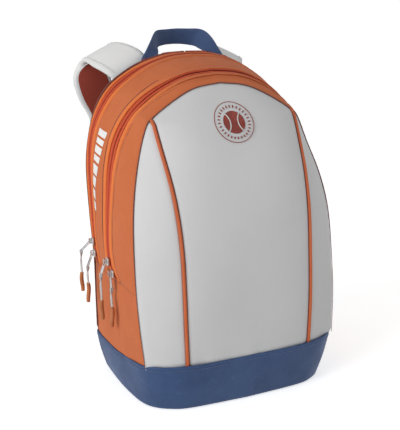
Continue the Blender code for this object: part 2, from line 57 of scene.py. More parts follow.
# ---------------------------------------------------------------- the design, as the CAD has it
CLOTH = 2.5
SIDE_SEAM_Z = 157.0
BACK_Y = 115.0
FRONT_ZIP_Y = 42.0
PIPING_R = 2.4
BINDING_R = 1.9
CROWN = 3.4
FRONT_SEAM = [(136.5, -58, 62), (140.5, -52, 115), (141.5, -45, 160), (139.5, -35, 225), (132.5, -23, 272),
              (119, -8, 318), (107, -2, 351), (97, 1.5, 361), (66, 6, 380), (36, 10, 393), (0, 11, 398)]
FRONT_ZIP = [(142, 16, 157), (144.6, 29, 168), (145.2, 38, 184), (144.2, 42, 214), (142, 42, 258),
             (138.5, 42, 295), (131, 41, 328), (116, 40, 356), (95, 38, 378), (67, 36, 396), (36, 34.5, 408),
             (0, 34, 412)]
MAIN_ZIP = [(140, 92, 157), (141.2, 97, 173), (142.2, 100, 195), (144, 100, 235), (146, 100, 280),
            (144, 100, 318), (135, 100, 350), (116, 100, 380), (93, 100, 399), (63, 100, 415),
            (31, 100, 424.5), (0, 100, 427)]
BACK_SEAM = [(135.5, 115, 52), (136.2, 115, 100), (137, 115, 157), (141.5, 115, 220), (144, 115, 285),
             (139, 115, 327), (129.5, 115, 360), (115, 115, 384), (96, 115, 400), (68, 115, 415),
             (36, 115, 424), (0, 115, 426)]
PIPING_X = [(87, 55), (89, 111), (89.7, 160), (90.2, 205), (93, 266), (97, 318), (98.8, 345), (99, 362)]
CENTRE_Y = [(-82.5, 55), (-83, 100), (-82, 150), (-78, 205), (-71, 250), (-59, 293), (-43, 330), (-24, 360),
            (-6, 380), (11, 398)]
BASE_FLOOR = [(0, 114), (60, 114), (114, 114), (127, 110), (131, 88), (134, 40), (133.5, 0),
              (130.5, -29), (122, -47.5), (105, -61.5), (78, -70.5), (0, -74.5)]
BASE_RIM = [(0, 115), (60, 115), (122, 115), (135.5, 112.5), (139, 95), (139.5, 40), (138.5, -5),
            (136.5, -46), (124, -65), (101, -76), (64, -82.5), (0, -83)]
HANDLE_TOP = [(-62, 121.5, 412), (-60, 121.5, 420), (-53, 122.5, 431), (-46, 124, 442), (-39, 129, 451),
              (-31, 136, 455), (-15, 141.5, 455.5), (0, 143, 456)]
HANDLE_LOW = [(-38, 121.5, 417), (-36, 124, 424), (-33, 130, 427), (-30.5, 137, 429.5), (-28.5, 142.5, 431.5),
              (-23, 149, 433), (-12, 153, 434.5), (0, 154, 435)]
WEBBING_T = 1.7
WEBBING_W = 24.0
# A strap's inner and outer edges: over the shoulder, where the right strap lies lower, and down the back.
STRAP_OVER = {
    "left": ([(47, 128.5, 416), (56, 137.5, 430.5), (69, 151, 437), (80, 164, 437), (85.5, 173, 428),
              (87, 177, 402), (79, 178.5, 378)],
             [(95, 127.5, 391), (107, 138.5, 403), (117, 153, 410), (125, 165, 414.5), (131, 174, 407),
              (137.5, 178, 391), (131, 179.5, 364)]),
    "right": ([(47, 128.5, 416), (52, 138, 425), (59, 151, 427), (66, 164, 425.5), (71.5, 172.5, 416),
               (76, 176.5, 396), (75, 178.5, 376)],
              [(95, 127.5, 391), (101, 138.5, 400), (107, 152, 404.5), (113, 165, 405), (119, 173.5, 397),
               (126, 178, 382), (125, 179.5, 360)]),
}
STRAP_DOWN = ([(68, 178.5, 350), (60, 176, 305), (58, 170, 255), (61, 162, 205), (69, 154, 168)],
              [(118, 179.5, 336), (109, 177, 298), (105, 171, 252), (104, 163, 204), (97, 155, 166)])
STRAP_T = 8.0
BUCKLE_X = 83.0
BADGE_Z = 353.5
BADGE_R = 26.5
BADGE_LEAN = 0.86
# Zip pulls on the left: name, zip, slider z, length of the cord's loop, tilt and swing at rest.
PULLS = [
    ("main_a", MAIN_ZIP, 185.0, 25.0, 40.0, 18.0),
    ("main_b", MAIN_ZIP, 169.0, 18.0, 26.0, -10.0),
    ("front_a", FRONT_ZIP, 176.0, 30.0, 15.0, 12.0),
    ("front_b", FRONT_ZIP, 163.0, 20.0, 0.0, -12.0),
]
SLIDER_OUT = 5.9      # from the zip tape out to the puller's hinge
PULLER_EYE = 19.0
TAB_END = 22.0
GRIP_LENGTH = 27.0
STRAND_R = 1.0
INSIDE = np.array([0.0, 15.0, 220.0])   # a point inside the bag, which outward faces look away from

# Where the fabric bends between bodies: along one slanted direction, two zones one after the other.
FOLD_START = np.array([0.0, 100.0, 157.0])
FOLD_MIDDLE = np.array([0.0, 65.9, 229.4])
FOLD_END = np.array([0.0, 31.8, 301.8])

# ---------------------------------------------------------------- camera, light and floor
CAMERA_AT = (-0.54044, -1.04499, 0.55076)
CAMERA_AZIMUTH = math.radians(25.896)
CAMERA_DOWN = math.radians(15.376)
CAMERA_LENS = 78.64
WORLD_LIGHT = 0.46
LIT_POINT = Vector((0.0, 0.0, 0.22))
STUDIO_R = 6.0
FLOOR_GLOW = 0.52
BACKDROP_GLOW = 0.6


def linked(name, data):
    """A new object in the scene with the given data."""
    obj = bpy.data.objects.new(name, data)
    bpy.context.scene.collection.objects.link(obj)
    return obj


def fill(node, **values):
    """Sets a node's sockets by name: base_color is its Base Color."""
    for key, value in values.items():
        node.inputs[key.replace("_", " ").title()].default_value = value


def make_camera():
    data = bpy.data.cameras.new("camera")
    data.lens = CAMERA_LENS
    data.sensor_width = 36.0
    camera = linked("camera", data)
    camera.location = CAMERA_AT
    camera.rotation_euler = (math.pi / 2 - CAMERA_DOWN, 0.0, -CAMERA_AZIMUTH)
    bpy.context.scene.camera = camera


def area_light(name, place, size, power):
    data = bpy.data.lights.new(name, "AREA")
    data.shape = "DISK"
    data.size = size
    data.energy = power
    lamp = linked(name, data)
    lamp.location = place
    lamp.rotation_euler = (LIT_POINT - Vector(place)).to_track_quat("-Z", "Y").to_euler()


def make_studio():
    world = bpy.data.worlds.new("studio")
    world.use_nodes = True
    fill(world.node_tree.nodes["Background"], color=(1.0, 1.0, 1.0, 1.0), strength=WORLD_LIGHT)
    bpy.context.scene.world = world
    bpy.context.scene.view_settings.view_transform = "Standard"
    area_light("key", (-2.2, -0.75, 0.95), 1.4, 34.0)
    area_light("fill", (1.2, -2.2, 1.0), 1.6, 7.0)
    bpy.ops.mesh.primitive_circle_add(vertices=96, radius=STUDIO_R, fill_type="NGON",
                                      location=(0.0, 0.0, -0.0002))
    stage("floor", bpy.context.object, FLOOR_GLOW)
    bpy.ops.mesh.primitive_cylinder_add(vertices=96, radius=STUDIO_R, depth=8.0, end_fill_type="NOTHING",
                                        location=(0.0, 0.0, 3.9))
    stage("backdrop", bpy.context.object, BACKDROP_GLOW)


def stage(name, obj, glow):
    """White paper behind or under the object, which glows a little but sheds no light on the object."""
    paper = Look(f"{name}_paper", 0.9)
    fill(paper.shader, base_color=(0.93, 0.93, 0.93, 1.0), emission_color=(1.0, 1.0, 1.0, 1.0),
         emission_strength=glow)
    obj.name = name
    obj.data.materials.append(paper.material)
    obj.visible_diffuse = False
    obj.visible_shadow = False


# ---------------------------------------------------------------- materials
def linear(srgb):
    """An sRGB colour, 0 to 255, as Blender's linear one."""
    out = []
    for value in srgb:
        c = value / 255.0
        out.append(c / 12.92 if c <= 0.04045 else ((c + 0.055) / 1.055) ** 2.4)
    return (*out, 1.0)


class Look:
    """A Principled material whose nodes are added one by one."""

    def __init__(self, name, roughness, metallic=0.0, sheen=0.0):
        self.material = bpy.data.materials.new(name)
        self.material.use_nodes = True
        self.tree = self.material.node_tree
        self.shader = self.tree.nodes["Principled BSDF"]
        fill(self.shader, roughness=roughness, metallic=metallic, sheen_weight=sheen, sheen_roughness=0.45)

    def plug(self, socket, value):
        """Gives a socket a value or another node's output."""
        if isinstance(value, bpy.types.NodeSocket):
            self.tree.links.new(value, socket)
        else:
            socket.default_value = value

    def node(self, kind, inputs=(), **settings):
        """The outputs of a new node. Its inputs are given by name or number."""
        made = self.tree.nodes.new(kind)
        for key, value in settings.items():
            setattr(made, key, value)
        for key, value in dict(inputs).items():
            self.plug(made.inputs[key], value)
        return made.outputs

    def math(self, operation, a, b=0.5, clamp=False):
        return self.node("ShaderNodeMath", {0: a, 1: b}, operation=operation, use_clamp=clamp)[0]

    def plus(self, a, b, clamp=False):
        return self.math("ADD", a, b, clamp)

    def times(self, a, b):
        return self.math("MULTIPLY", a, b)

    def wave(self, value, period):
        return self.math("SINE", self.times(value, 2 * math.pi / period))

    def place(self, kind):
        """The place on the cloth ("UV") or in the piece ("Object")."""
        return self.node("ShaderNodeTexCoord")[kind]

    def axis(self, vector, name):
        return self.node("ShaderNodeSeparateXYZ", {"Vector": vector})[name]

    def stretched(self, vector, scale):
        return self.node("ShaderNodeMapping", {"Vector": vector, "Scale": scale})["Vector"]

    def noise(self, vector, scale, detail=3.0, roughness=0.55):
        inputs = {"Vector": vector, "Scale": scale, "Detail": detail, "Roughness": roughness}
        return self.node("ShaderNodeTexNoise", inputs)["Fac"]

    def remap(self, value, low, high, to_low=0.0, to_high=1.0):
        inputs = {"Value": value, "From Min": low, "From Max": high, "To Min": to_low, "To Max": to_high}
        return self.node("ShaderNodeMapRange", inputs)["Result"]

    def mix(self, factor, a, b):
        """A colour between two, each a socket or an sRGB colour."""
        a, b = [linear(value) if isinstance(value, tuple) else value for value in (a, b)]
        return self.node("ShaderNodeMix", {0: factor, 6: a, 7: b}, data_type="RGBA")[2]

    def edges(self, low, high, to_low, to_high):
        """How sharp the edge here is, remapped."""
        return self.remap(self.node("ShaderNodeNewGeometry")["Pointiness"], low, high, to_low, to_high)

    def rough(self, value, low, high, smoothest, roughest):
        self.plug(self.shader.inputs["Roughness"], self.remap(value, low, high, smoothest, roughest))

    def finish(self, colour, height, distance, strength=1.0):
        """Colours the surface, raises it by a height and gives the material."""
        inputs = {"Height": height, "Distance": distance, "Strength": strength}
        self.plug(self.shader.inputs["Base Color"], colour)
        self.plug(self.shader.inputs["Normal"], self.node("ShaderNodeBump", inputs)["Normal"])
        return self.material


def woven(name, lit, deep, pitch, roughness=0.8, sheen=0.0, mottle=0.35, unhighlighted_shades=None):
    """Woven cloth: a plain weave with uneven yarns, dust, slow changes of shade and painted shade in the dips
    of the weave.

    With a second (lit, deep) given, it takes that colour from the left side over the top, so its own colour
    is a painted highlight on the left side only.
    """
    look = Look(name, roughness, sheen=sheen)
    cloth = look.place("UV")
    solid = look.place("Object")
    across, along = [look.wave(look.axis(cloth, axis), 2 * pitch) for axis in ("X", "Y")]
    weave = look.plus(look.times(look.times(across, along), 0.5), 0.5)
    slub_u = look.noise(look.stretched(cloth, (1.0, 0.06, 0.3)), 900.0, 2.0)
    slub_v = look.noise(look.stretched(cloth, (0.06, 1.0, 0.3)), 900.0, 2.0)
    yarns = look.times(look.plus(slub_u, slub_v), 0.5)
    slow = look.noise(solid, 14.0, 4.0, 0.6)
    factor = look.plus(look.times(look.remap(slow, 0.3, 0.7), mottle),
                       look.times(look.remap(yarns, 0.3, 0.7), 0.3))
    # Painted shade: the low parts of the weave lean to the deep colour.
    factor = look.plus(factor, look.times(look.math("SUBTRACT", 1.0, weave), 0.35), clamp=True)
    shade = look.mix(factor, lit, deep)
    # Painted highlight: the cloth's own brighter colour on the left, lit side gives way to the second colour
    # over the top.
    if unhighlighted_shades:
        past_highlight = look.remap(look.axis(solid, "X"), -0.11, -0.05)
        shade = look.mix(past_highlight, shade, look.mix(factor, *unhighlighted_shades))
    look.rough(slow, 0.2, 0.8, roughness - 0.07, min(1.0, roughness + 0.07))
    return look.finish(shade, look.plus(weave, look.times(yarns, 0.6)), 0.00012)


def coated(name, lit, deep, roughness):
    """Coated cloth with a leather-like grain, scuffed a little lighter on its high spots."""
    look = Look(name, roughness)
    solid = look.place("Object")
    cells = look.node("ShaderNodeTexVoronoi", {"Vector": solid, "Scale": 620.0}, feature="SMOOTH_F1")
    grain = look.plus(cells["Distance"], look.times(look.noise(solid, 300.0, 4.0), 0.7))
    slow = look.noise(solid, 18.0, 5.0, 0.62)
    scuff = look.remap(look.noise(solid, 120.0, 6.0, 0.7), 0.56, 0.74, 0.0, 0.28)
    base = look.mix(look.remap(slow, 0.3, 0.7), lit, deep)
    look.rough(slow, 0.25, 0.75, roughness - 0.06, roughness + 0.12)
    return look.finish(look.mix(scuff, base, tuple(min(255, c + 34) for c in lit)), grain, 0.00022, 0.75)


def webbing(name, lit, deep):
    """Narrow webbing: ribs across it and fine diagonal yarns, with painted light on their high spots and
    painted shade in the grooves.
    """
    look = Look(name, 0.7, sheen=0.1)
    cloth = look.place("UV")
    rib = look.wave(look.axis(cloth, "Y"), 0.0016)
    slanted = look.plus(look.axis(cloth, "X"), look.times(look.math("ABSOLUTE", rib), 0.0004))
    height = look.plus(look.times(rib, 0.5), look.times(look.wave(slanted, 0.0011), 0.35))
    fuzz = look.noise(look.place("Object"), 700.0)
    # Painted light and shade: the higher the rib, the nearer its colour to the lit one.
    shade = look.plus(look.remap(height, -0.8, 0.8, 0.15, 0.75), look.times(fuzz, 0.25), clamp=True)
    return look.finish(look.mix(shade, deep, lit), look.plus(height, look.times(fuzz, 0.5)), 0.00025)


def mesh_cloth(name, lit, deep):
    """Spacer mesh: rows of small round holes, sunk by the bump and painted dark as shade in them."""
    look = Look(name, 0.85, sheen=0.3)
    solid = look.place("Object")
    waves = look.times(look.wave(look.axis(solid, "X"), 0.0034), look.wave(look.axis(solid, "Z"), 0.0034))
    hole_and_its_shade = look.remap(waves, 0.1, 0.75)
    fuzz = look.noise(solid, 900.0)
    slow = look.noise(solid, 20.0, 4.0)
    # Painted shade: the holes take the deep colour.
    shade = look.plus(look.times(hole_and_its_shade, 0.75), look.times(slow, 0.3), clamp=True)
    height = look.math("SUBTRACT", look.times(fuzz, 0.3), hole_and_its_shade)
    return look.finish(look.mix(shade, lit, deep), height, 0.0005)


def yarn(name, lit, deep, roughness=0.6, sheen=0.3):
    """Sewing or embroidery thread, and twisted cord: fine slanted plies, with painted light on their crests
    and painted shade between them.
    """
    look = Look(name, roughness, sheen=sheen)
    cloth = look.place("UV")
    ply = look.wave(look.plus(look.axis(cloth, "X"), look.times(look.axis(cloth, "Y"), 0.9)), 0.0009)
    fuzz = look.noise(look.place("Object"), 1500.0)
    # Painted light and shade: the higher the ply, the nearer its colour to the lit one.
    shade = look.plus(look.remap(ply, -1.0, 1.0, 0.0, 0.6), look.times(fuzz, 0.4), clamp=True)
    return look.finish(look.mix(shade, deep, lit), look.plus(ply, fuzz), 0.0001)


def moulded(name, lit, deep, worn, roughness, grain=0.00008):
    """Moulded plastic or rubber: fine spark grain, handling marks and paler worn edges."""
    look = Look(name, roughness)
    solid = look.place("Object")
    slow = look.noise(solid, 60.0, 4.0, 0.6)
    base = look.mix(look.remap(slow, 0.3, 0.7), lit, deep)
    shade = look.mix(look.edges(0.53, 0.62, 0.0, 0.6), base, worn)
    look.rough(slow, 0.25, 0.75, roughness - 0.08, roughness + 0.1)
    return look.finish(shade, look.noise(solid, 1800.0), grain)


def plated(name, lit, deep):
    """Nickel plate with fine scratches, darker in its hollows."""
    look = Look(name, 0.28, metallic=1.0)
    solid = look.place("Object")
    slow = look.noise(solid, 240.0, 4.0, 0.6)
    base = look.mix(look.remap(slow, 0.3, 0.75), lit, deep)
    # Hollows, where pointiness is below that of a flat surface, are darkened towards a dim grey.
    darker_in_hollows = look.mix(look.edges(0.44, 0.5, 0.8, 0.0), base, tuple(c * 0.45 for c in deep))
    look.rough(slow, 0.3, 0.7, 0.22, 0.44)
    scratches = look.noise(look.stretched(solid, (1.0, 1.0, 0.12)), 2600.0, 2.0)
    return look.finish(darker_in_hollows, scratches, 0.00004, 0.6)


ORANGE_SHADES = ((206, 112, 60), (186, 92, 46))
ORANGE = woven("orange_cloth", *ORANGE_SHADES, pitch=0.0011, roughness=0.88)
# The zip welts: orange cloth painted brighter on the left side as a highlight, and plain orange over the top.
WELT_WITH_PAINTED_HIGHLIGHT = woven("zip_welt_cloth", (232, 126, 54), (214, 106, 42), pitch=0.0009, roughness=0.88,
             unhighlighted_shades=ORANGE_SHADES)
WHITE = woven("white_cloth", (210, 210, 210), (198, 198, 199), pitch=0.0012, roughness=0.62, sheen=0.05,
              mottle=0.2)
STRAP_WHITE = woven("strap_cloth", (228, 228, 227), (214, 214, 214), pitch=0.0010, roughness=0.66,
                    sheen=0.25, mottle=0.25)
LINING = woven("clay_lining_cloth", (166, 64, 42), (138, 46, 30), pitch=0.0008)
NAVY = coated("navy_coated_cloth", (40, 72, 117), (31, 57, 98), roughness=0.55)
# Its lit and deep colours are painted light and shade across the ribs.
NAVY_WEB = webbing("navy_webbing_cloth", (68, 98, 146), (32, 48, 84))
# Its deep colour is painted shade in the holes.
NAVY_MESH = mesh_cloth("navy_mesh_cloth", (66, 84, 118), (28, 38, 60))
CLAY_PIPING = woven("clay_piping_cloth", (206, 103, 52), (182, 82, 38), pitch=0.0008, roughness=0.7)
# Dark brown for the back binding and the front seam, and also for painted shadow lines beside the panel
# piping and the front zip's fold.
DARK_PIPING_AND_SHADOW = woven("dark_piping_and_painted_shadow_cloth", (116, 54, 40), (88, 38, 30), pitch=0.0007, roughness=0.7, sheen=0.25)
ZIP_TAPE = woven("zip_tape_cloth", (208, 84, 40), (186, 64, 28), pitch=0.0007, roughness=0.85)
# Threads and cord: their lit and deep colours are painted light and shade across the plies.
THREAD_BROWN = yarn("brown_thread", (150, 66, 28), (112, 44, 18))
THREAD_ORANGE = yarn("orange_thread", (208, 112, 56), (176, 88, 42), sheen=0.0)
THREAD_CLAY = yarn("clay_thread", (164, 60, 42), (130, 42, 30), sheen=0.05)
THREAD_NAVY = yarn("navy_thread", (90, 112, 150), (58, 76, 112))
THREAD_WHITE = yarn("white_thread", (232, 232, 230), (204, 204, 202))
CORD_WHITE = yarn("white_cord_braid", (238, 238, 236), (204, 204, 202), roughness=0.7)
ZIP_COIL = moulded("zip_coil_nylon", (178, 52, 20), (152, 38, 14), (196, 76, 38), roughness=0.6)
GRIP = moulded("grip_rubber", (190, 116, 66), (166, 92, 48), (206, 140, 92), roughness=0.6)
PLASTIC = moulded("navy_acetal", (36, 46, 76), (26, 34, 58), (74, 86, 116), roughness=0.4)
BOARD = moulded("grey_board", (70, 70, 72), (54, 54, 56), (96, 96, 98), roughness=0.8)
PRINT = moulded("white_print", (236, 236, 234), (222, 222, 220), (242, 242, 240), roughness=0.5,
                grain=0.00003)
METAL = plated("nickel_plate", (206, 206, 206), (168, 168, 170))


# ---------------------------------------------------------------- curves
def resample(line, steps, *carried):
    """The same line with evenly spaced points, and after them the columns carried along it."""
    along = np.concatenate([[0], np.cumsum(np.linalg.norm(np.diff(line, axis=0), axis=1))])
    at = np.linspace(0, along[-1], steps)
    return np.stack([np.interp(at, along, column) for column in np.hstack([line, *carried]).T], axis=1)


def smooth(points, steps):
    """Points evenly spaced along a Catmull-Rom curve through the given points."""
    p = np.array(points, float)
    ends = np.vstack([2 * p[0] - p[1], p, 2 * p[-1] - p[-2]])
    fine = []
    for a, b, c, d in zip(ends, ends[1:], ends[2:], ends[3:]):
        for u in np.linspace(0, 1, 24, endpoint=False):
            fine.append(0.5 * (2 * b + (c - a) * u + (2 * a - 5 * b + 4 * c - d) * u ** 2
                               + (3 * b - a - 3 * c + d) * u ** 3))
    fine.append(p[-1])
    return resample(np.array(fine), steps)


def at_height(line, z):
    """The point of a rising line at a height, or its three coordinates at many heights."""
    return np.array([np.interp(z, line[:, 2], line[:, k]) for k in range(3)])


def mirrored(half):
    return np.vstack([half, half[:-1][::-1] * MIRROR])


def arch(half, z, steps):
    """A whole arch over the top from a height upwards, with evenly spaced points, from +X to -X."""
    fine = smooth(half, 600)
    foot = at_height(fine[:180], z)
    return mirrored(resample(np.vstack([foot, fine[fine[:, 2] > z + 0.5]]), steps // 2 + 1))


def unit(vectors):
    return vectors / np.maximum(np.linalg.norm(vectors, axis=-1, keepdims=True), 1e-9)


def ripple(points, wavelength, seed, waves=7):
    """Smooth unevenness between about -1 and 1 that depends only on the place."""
    chance = np.random.default_rng(seed)
    total = np.zeros(points.shape[:-1])
    for _ in range(waves):
        direction = unit(chance.normal(size=3))
        length = wavelength * chance.uniform(0.7, 1.6)
        total += np.sin(points @ direction * (2 * math.pi / length) + chance.uniform(0, 2 * math.pi))
    return total / math.sqrt(waves)


SEAM_HALF = smooth(FRONT_SEAM, 400)
BACK_HALF = smooth(BACK_SEAM, 400)
RIM_HALF = smooth(BASE_RIM, 400)
CENTRE = smooth(CENTRE_Y, 200)
PIPE = smooth(PIPING_X, 200)


def seam_x(z):
    return at_height(SEAM_HALF, z)[0]


def seam_z(x):
    """Height of the front seam over the panel at a distance from the middle, near the top."""
    near_top = SEAM_HALF[180:][::-1]
    return np.interp(np.abs(x), near_top[:, 0], near_top[:, 2])


def piping_x(z):
    return np.interp(z, PIPE[:, 1], PIPE[:, 0])


def panel_y(x, z):
    """The crowned front surface."""
    middle = np.interp(z, CENTRE[:, 1], CENTRE[:, 0])
    edge_x, edge_y, _ = at_height(SEAM_HALF, z)
    share = np.minimum(1.0, np.abs(x) / np.maximum(edge_x, 1e-6))
    return middle + (edge_y - middle) * share ** CROWN


def rim_height(y):
    return np.interp(y, [-60.0, 30.0], [62.0, 50.0])


def rim_x(y):
    """Half width of the base's rim at a depth."""
    flank = RIM_HALF[RIM_HALF[:, 1] < 113.0]
    return np.interp(-y, -flank[:, 1], flank[:, 0])


def tucked(z, y):
    """How far cloth goes in behind the base's rim."""
    return 2.4 * np.clip((rim_height(y) + 3.4 - z) / 4.0, 0.0, 1.0)


def seam_pull(distance, depth, reach):
    """How far cloth is pulled in at a distance from a seam."""
    return depth * np.maximum(0.0, 1 - distance / reach) ** 2


def bell(distance, width):
    return np.exp(-(distance / width) ** 2)


def near_base(z, reach):
    """1 at the base's rim, fading upwards."""
    return np.exp(-np.maximum(0.0, z - 62.0) / reach)


def flat_arch(edge, columns, y):
    """A grid across an arch at a depth, from half of the arch's (x, z) outline."""
    x = edge[:, :1] * np.linspace(-1, 1, columns)
    return np.stack([x, np.full(x.shape, y), edge[:, 1:] + 0 * x], axis=2)


# ---------------------------------------------------------------- meshes
def grid_normals(rows):
    return unit(np.cross(np.gradient(rows, axis=0), np.gradient(rows, axis=1)))


def normals_of(rows):
    """Unit normals of a grid of points, looking away from the bag's middle."""
    normal = grid_normals(rows)
    away = rows.mean(axis=(0, 1)) - INSIDE
    return -normal if (normal * away).sum() < 0 else normal


def mesh_from(name, verts, faces, looks, uvs, face_looks=None):
    mesh = bpy.data.meshes.new(name)
    mesh.from_pydata((np.asarray(verts) * MM).tolist(), [], faces)
    for look in looks:
        mesh.materials.append(look)
    layer = mesh.uv_layers.new(name="cloth")
    corner = np.empty(len(mesh.loops), int)
    mesh.loops.foreach_get("vertex_index", corner)
    layer.data.foreach_set("uv", (np.asarray(uvs)[corner] * MM).ravel())
    if face_looks is not None:
        mesh.polygons.foreach_set("material_index", np.asarray(face_looks, np.int32))
    mesh.shade_smooth()
    mesh.update()
    return linked(name, mesh)


def lengths(rows, wrap):
    """Distances along and across a grid, for its cloth coordinates."""
    n, m = rows.shape[:2]
    steps = np.linalg.norm(np.diff(rows, axis=0), axis=2).mean(axis=1)
    along = np.concatenate([[0], np.cumsum(steps)])
    widths = np.linalg.norm(np.diff(rows, axis=1), axis=2)
    across = np.concatenate([np.zeros((n, 1)), np.cumsum(widths, axis=1)], axis=1)
    if not wrap:
        across -= across[:, -1:] / 2
    return np.stack([across, np.repeat(along[:, None], m, axis=1)], axis=2)


def grid(name, rows, looks, wrap=False, caps=False, face_look=None):
    """A surface through rows of points. With wrap each row is a closed ring."""
    rows = np.asarray(rows, float)
    n, m = rows.shape[:2]
    faces = []
    picks = []
    for i in range(n - 1):
        for j in range(m if wrap else m - 1):
            k = (j + 1) % m
            faces.append((i * m + j, i * m + k, (i + 1) * m + k, (i + 1) * m + j))
            picks.append(face_look(j) if face_look else 0)
    if caps:
        faces.append(tuple(range(m))[::-1])
        faces.append(tuple((n - 1) * m + j for j in range(m)))
        picks += [picks[0], picks[-1]]
    return mesh_from(name, rows.reshape(-1, 3), faces, looks, lengths(rows, wrap).reshape(-1, 2), picks)


def apply_modifiers(obj):
    graph = bpy.context.evaluated_depsgraph_get()
    mesh = bpy.data.meshes.new_from_object(obj.evaluated_get(graph))
    obj.modifiers.clear()
    obj.data = mesh
    return obj


def face_outwards(obj):
    """Turns the faces of an open surface away from the bag's inside."""
    middle = Vector(INSIDE) * MM
    if sum((face.center - middle).dot(face.normal) * face.area for face in obj.data.polygons) < 0:
        obj.data.flip_normals()
    return obj


def turned_out(obj):
    """Turns the faces of a closed mesh outwards."""
    bm = bmesh.new()
    bm.from_mesh(obj.data)
    bmesh.ops.recalc_face_normals(bm, faces=bm.faces)
    if bm.calc_volume(signed=True) < 0:
        bmesh.ops.reverse_faces(bm, faces=bm.faces)
    bm.to_mesh(obj.data)
    bm.free()
    return obj


def shell(name, rows, look, thickness=CLOTH, wrap=False):
    """Cloth with a lining: a surface thickened inwards."""
    obj = face_outwards(grid(name, rows, [look, LINING], wrap))
    solid = obj.modifiers.new("Solidify", "SOLIDIFY")
    solid.thickness = thickness * MM
    solid.offset = -1.0
    solid.material_offset = 1
    solid.material_offset_rim = 1 if look is WHITE else 0
    return apply_modifiers(obj)


def closed(name, rows, look, *more_looks, face_look=None):
    """A solid from rings of points."""
    return turned_out(grid(name, rows, [look, *more_looks], wrap=True, caps=True, face_look=face_look))


def rings(line, up, profile):
    """A profile of (sideways, upwards) offsets, or one for each point, carried along a line."""
    line = np.asarray(line, float)
    tangent = unit(np.gradient(line, axis=0))
    side = unit(np.cross(tangent, up))
    top = np.cross(side, tangent)
    profile = np.asarray(profile, float)
    if profile.ndim == 2:
        profile = profile[None]
    return line[:, None] + side[:, None] * profile[..., :1] + top[:, None] * profile[..., 1:]


def turns(count):
    """Evenly spaced angles round a circle, with the first not repeated."""
    return np.linspace(0, 2 * math.pi, count, endpoint=False)


def circle(radius, sides):
    return [(radius * math.cos(a), radius * math.sin(a)) for a in turns(sides)]


def band(width, height, sides=5):
    """The section of a flat strip with rounded edges: half its thickness above and below the line."""
    r = height / 2
    out = []
    for centre, start in ((width / 2 - r, -math.pi / 2), (r - width / 2, math.pi / 2)):
        for a in np.linspace(start, start + math.pi, sides):
            out.append((centre + r * math.cos(a), r * math.sin(a)))
    return out


def ridge(width, height):
    """The section of a raised fold: rounded on top, flat underneath and sunk into what it lies on."""
    out = [(width / 2 * math.cos(a), height * math.sin(a)) for a in np.linspace(0, math.pi, 7)]
    return out + [(-width / 2, -0.8), (width / 2, -0.8)]


def strip(name, line, up, profile, look, wave=0.0, seed=1):
    """A piping, fold, tape or webbing that follows a line."""
    rows = rings(line, up, profile)
    if wave:
        rows = rows + np.asarray(up)[:, None] * (ripple(rows, 9.0, seed) * wave)[..., None]
    return closed(name, rows, look)


def on_grid(rows, normal, share, lift):
    """A line along a grid at a share of its width, lifted off it."""
    at = share * (rows.shape[1] - 1)
    i = min(int(at), rows.shape[1] - 2)
    t = at - i
    up = unit(normal[:, i] * (1 - t) + normal[:, i + 1] * t)
    return rows[:, i] * (1 - t) + rows[:, i + 1] * t + up * lift


def thread_tubes(name, look, tubes, radius):
    """Short six-sided tubes, each (sections, side, top), with sections of (middle, girth, place along)."""
    verts = []
    faces = []
    uvs = []
    for sections, side, top in tubes:
        start = len(verts)
        for middle, girth, along in sections:
            for a in turns(6):
                verts.append(middle + (side * math.cos(a) + top * math.sin(a)) * radius * girth)
                uvs.append((along, a * radius))
        last = len(verts) - 6
        for ring in range(start, last, 6):
            for j in range(6):
                k = (j + 1) % 6
                faces.append((ring + k, ring + j, ring + 6 + j, ring + 6 + k))
        faces.append(tuple(range(start, start + 6)))
        faces.append(tuple(range(last, last + 6))[::-1])
    return mesh_from(name, verts, faces, [look], uvs)


# A stitch's sections: the place along it, its girth and its height, both as shares of the thread's radius.
STITCH = ((-0.5, 0.45, -0.55), (-0.32, 1.0, 0.0), (0.0, 1.0, 0.18), (0.32, 1.0, 0.0), (0.5, 0.45, -0.55))


def stitches(name, lines, look, pitch=3.6, length=2.7, radius=0.42):
    """Stitches along lines given as (points, upward directions), each a thread that dips at both ends."""
    tubes = []
    for line, up in lines:
        total = np.linalg.norm(np.diff(line, axis=0), axis=1).sum()
        both = resample(line, max(2, int(total / pitch)) + 1, up)
        centres = (both[:-1, :3] + both[1:, :3]) / 2
        tangents = unit(both[1:, :3] - both[:-1, :3])
        tops = unit((both[:-1, 3:] + both[1:, 3:]) / 2)
        for centre, tangent, top in zip(centres, tangents, tops):
            sections = [(centre + tangent * along * length + top * rise * radius, girth, along * length)
                        for along, girth, rise in STITCH]
            tubes.append((sections, unit(np.cross(tangent, top)), top))
    return thread_tubes(name, look, tubes, radius)


# ---------------------------------------------------------------- bodies
def divide_at_fold(obj):
    """Cuts a piece at the plane between the two bending zones: (below, above)."""
    direction = Vector(FOLD_END - FOLD_START).normalized()
    parts = []
    for tag, flag in (("lower", "clear_outer"), ("upper", "clear_inner")):
        bm = bmesh.new()
        bm.from_mesh(obj.data)
        geometry = list(bm.verts) + list(bm.edges) + list(bm.faces)
        bmesh.ops.bisect_plane(bm, geom=geometry, dist=1e-6, plane_co=Vector(FOLD_MIDDLE) * MM,
                               plane_no=direction, **{flag: True})
        part = None
        if bm.faces:
            mesh = bpy.data.meshes.new(f"{obj.name}_{tag}")
            bm.to_mesh(mesh)
            for look in obj.data.materials:
                mesh.materials.append(look)
            part = linked(mesh.name, mesh)
        bm.free()
        parts.append(part)
    bpy.data.objects.remove(obj)
    return parts


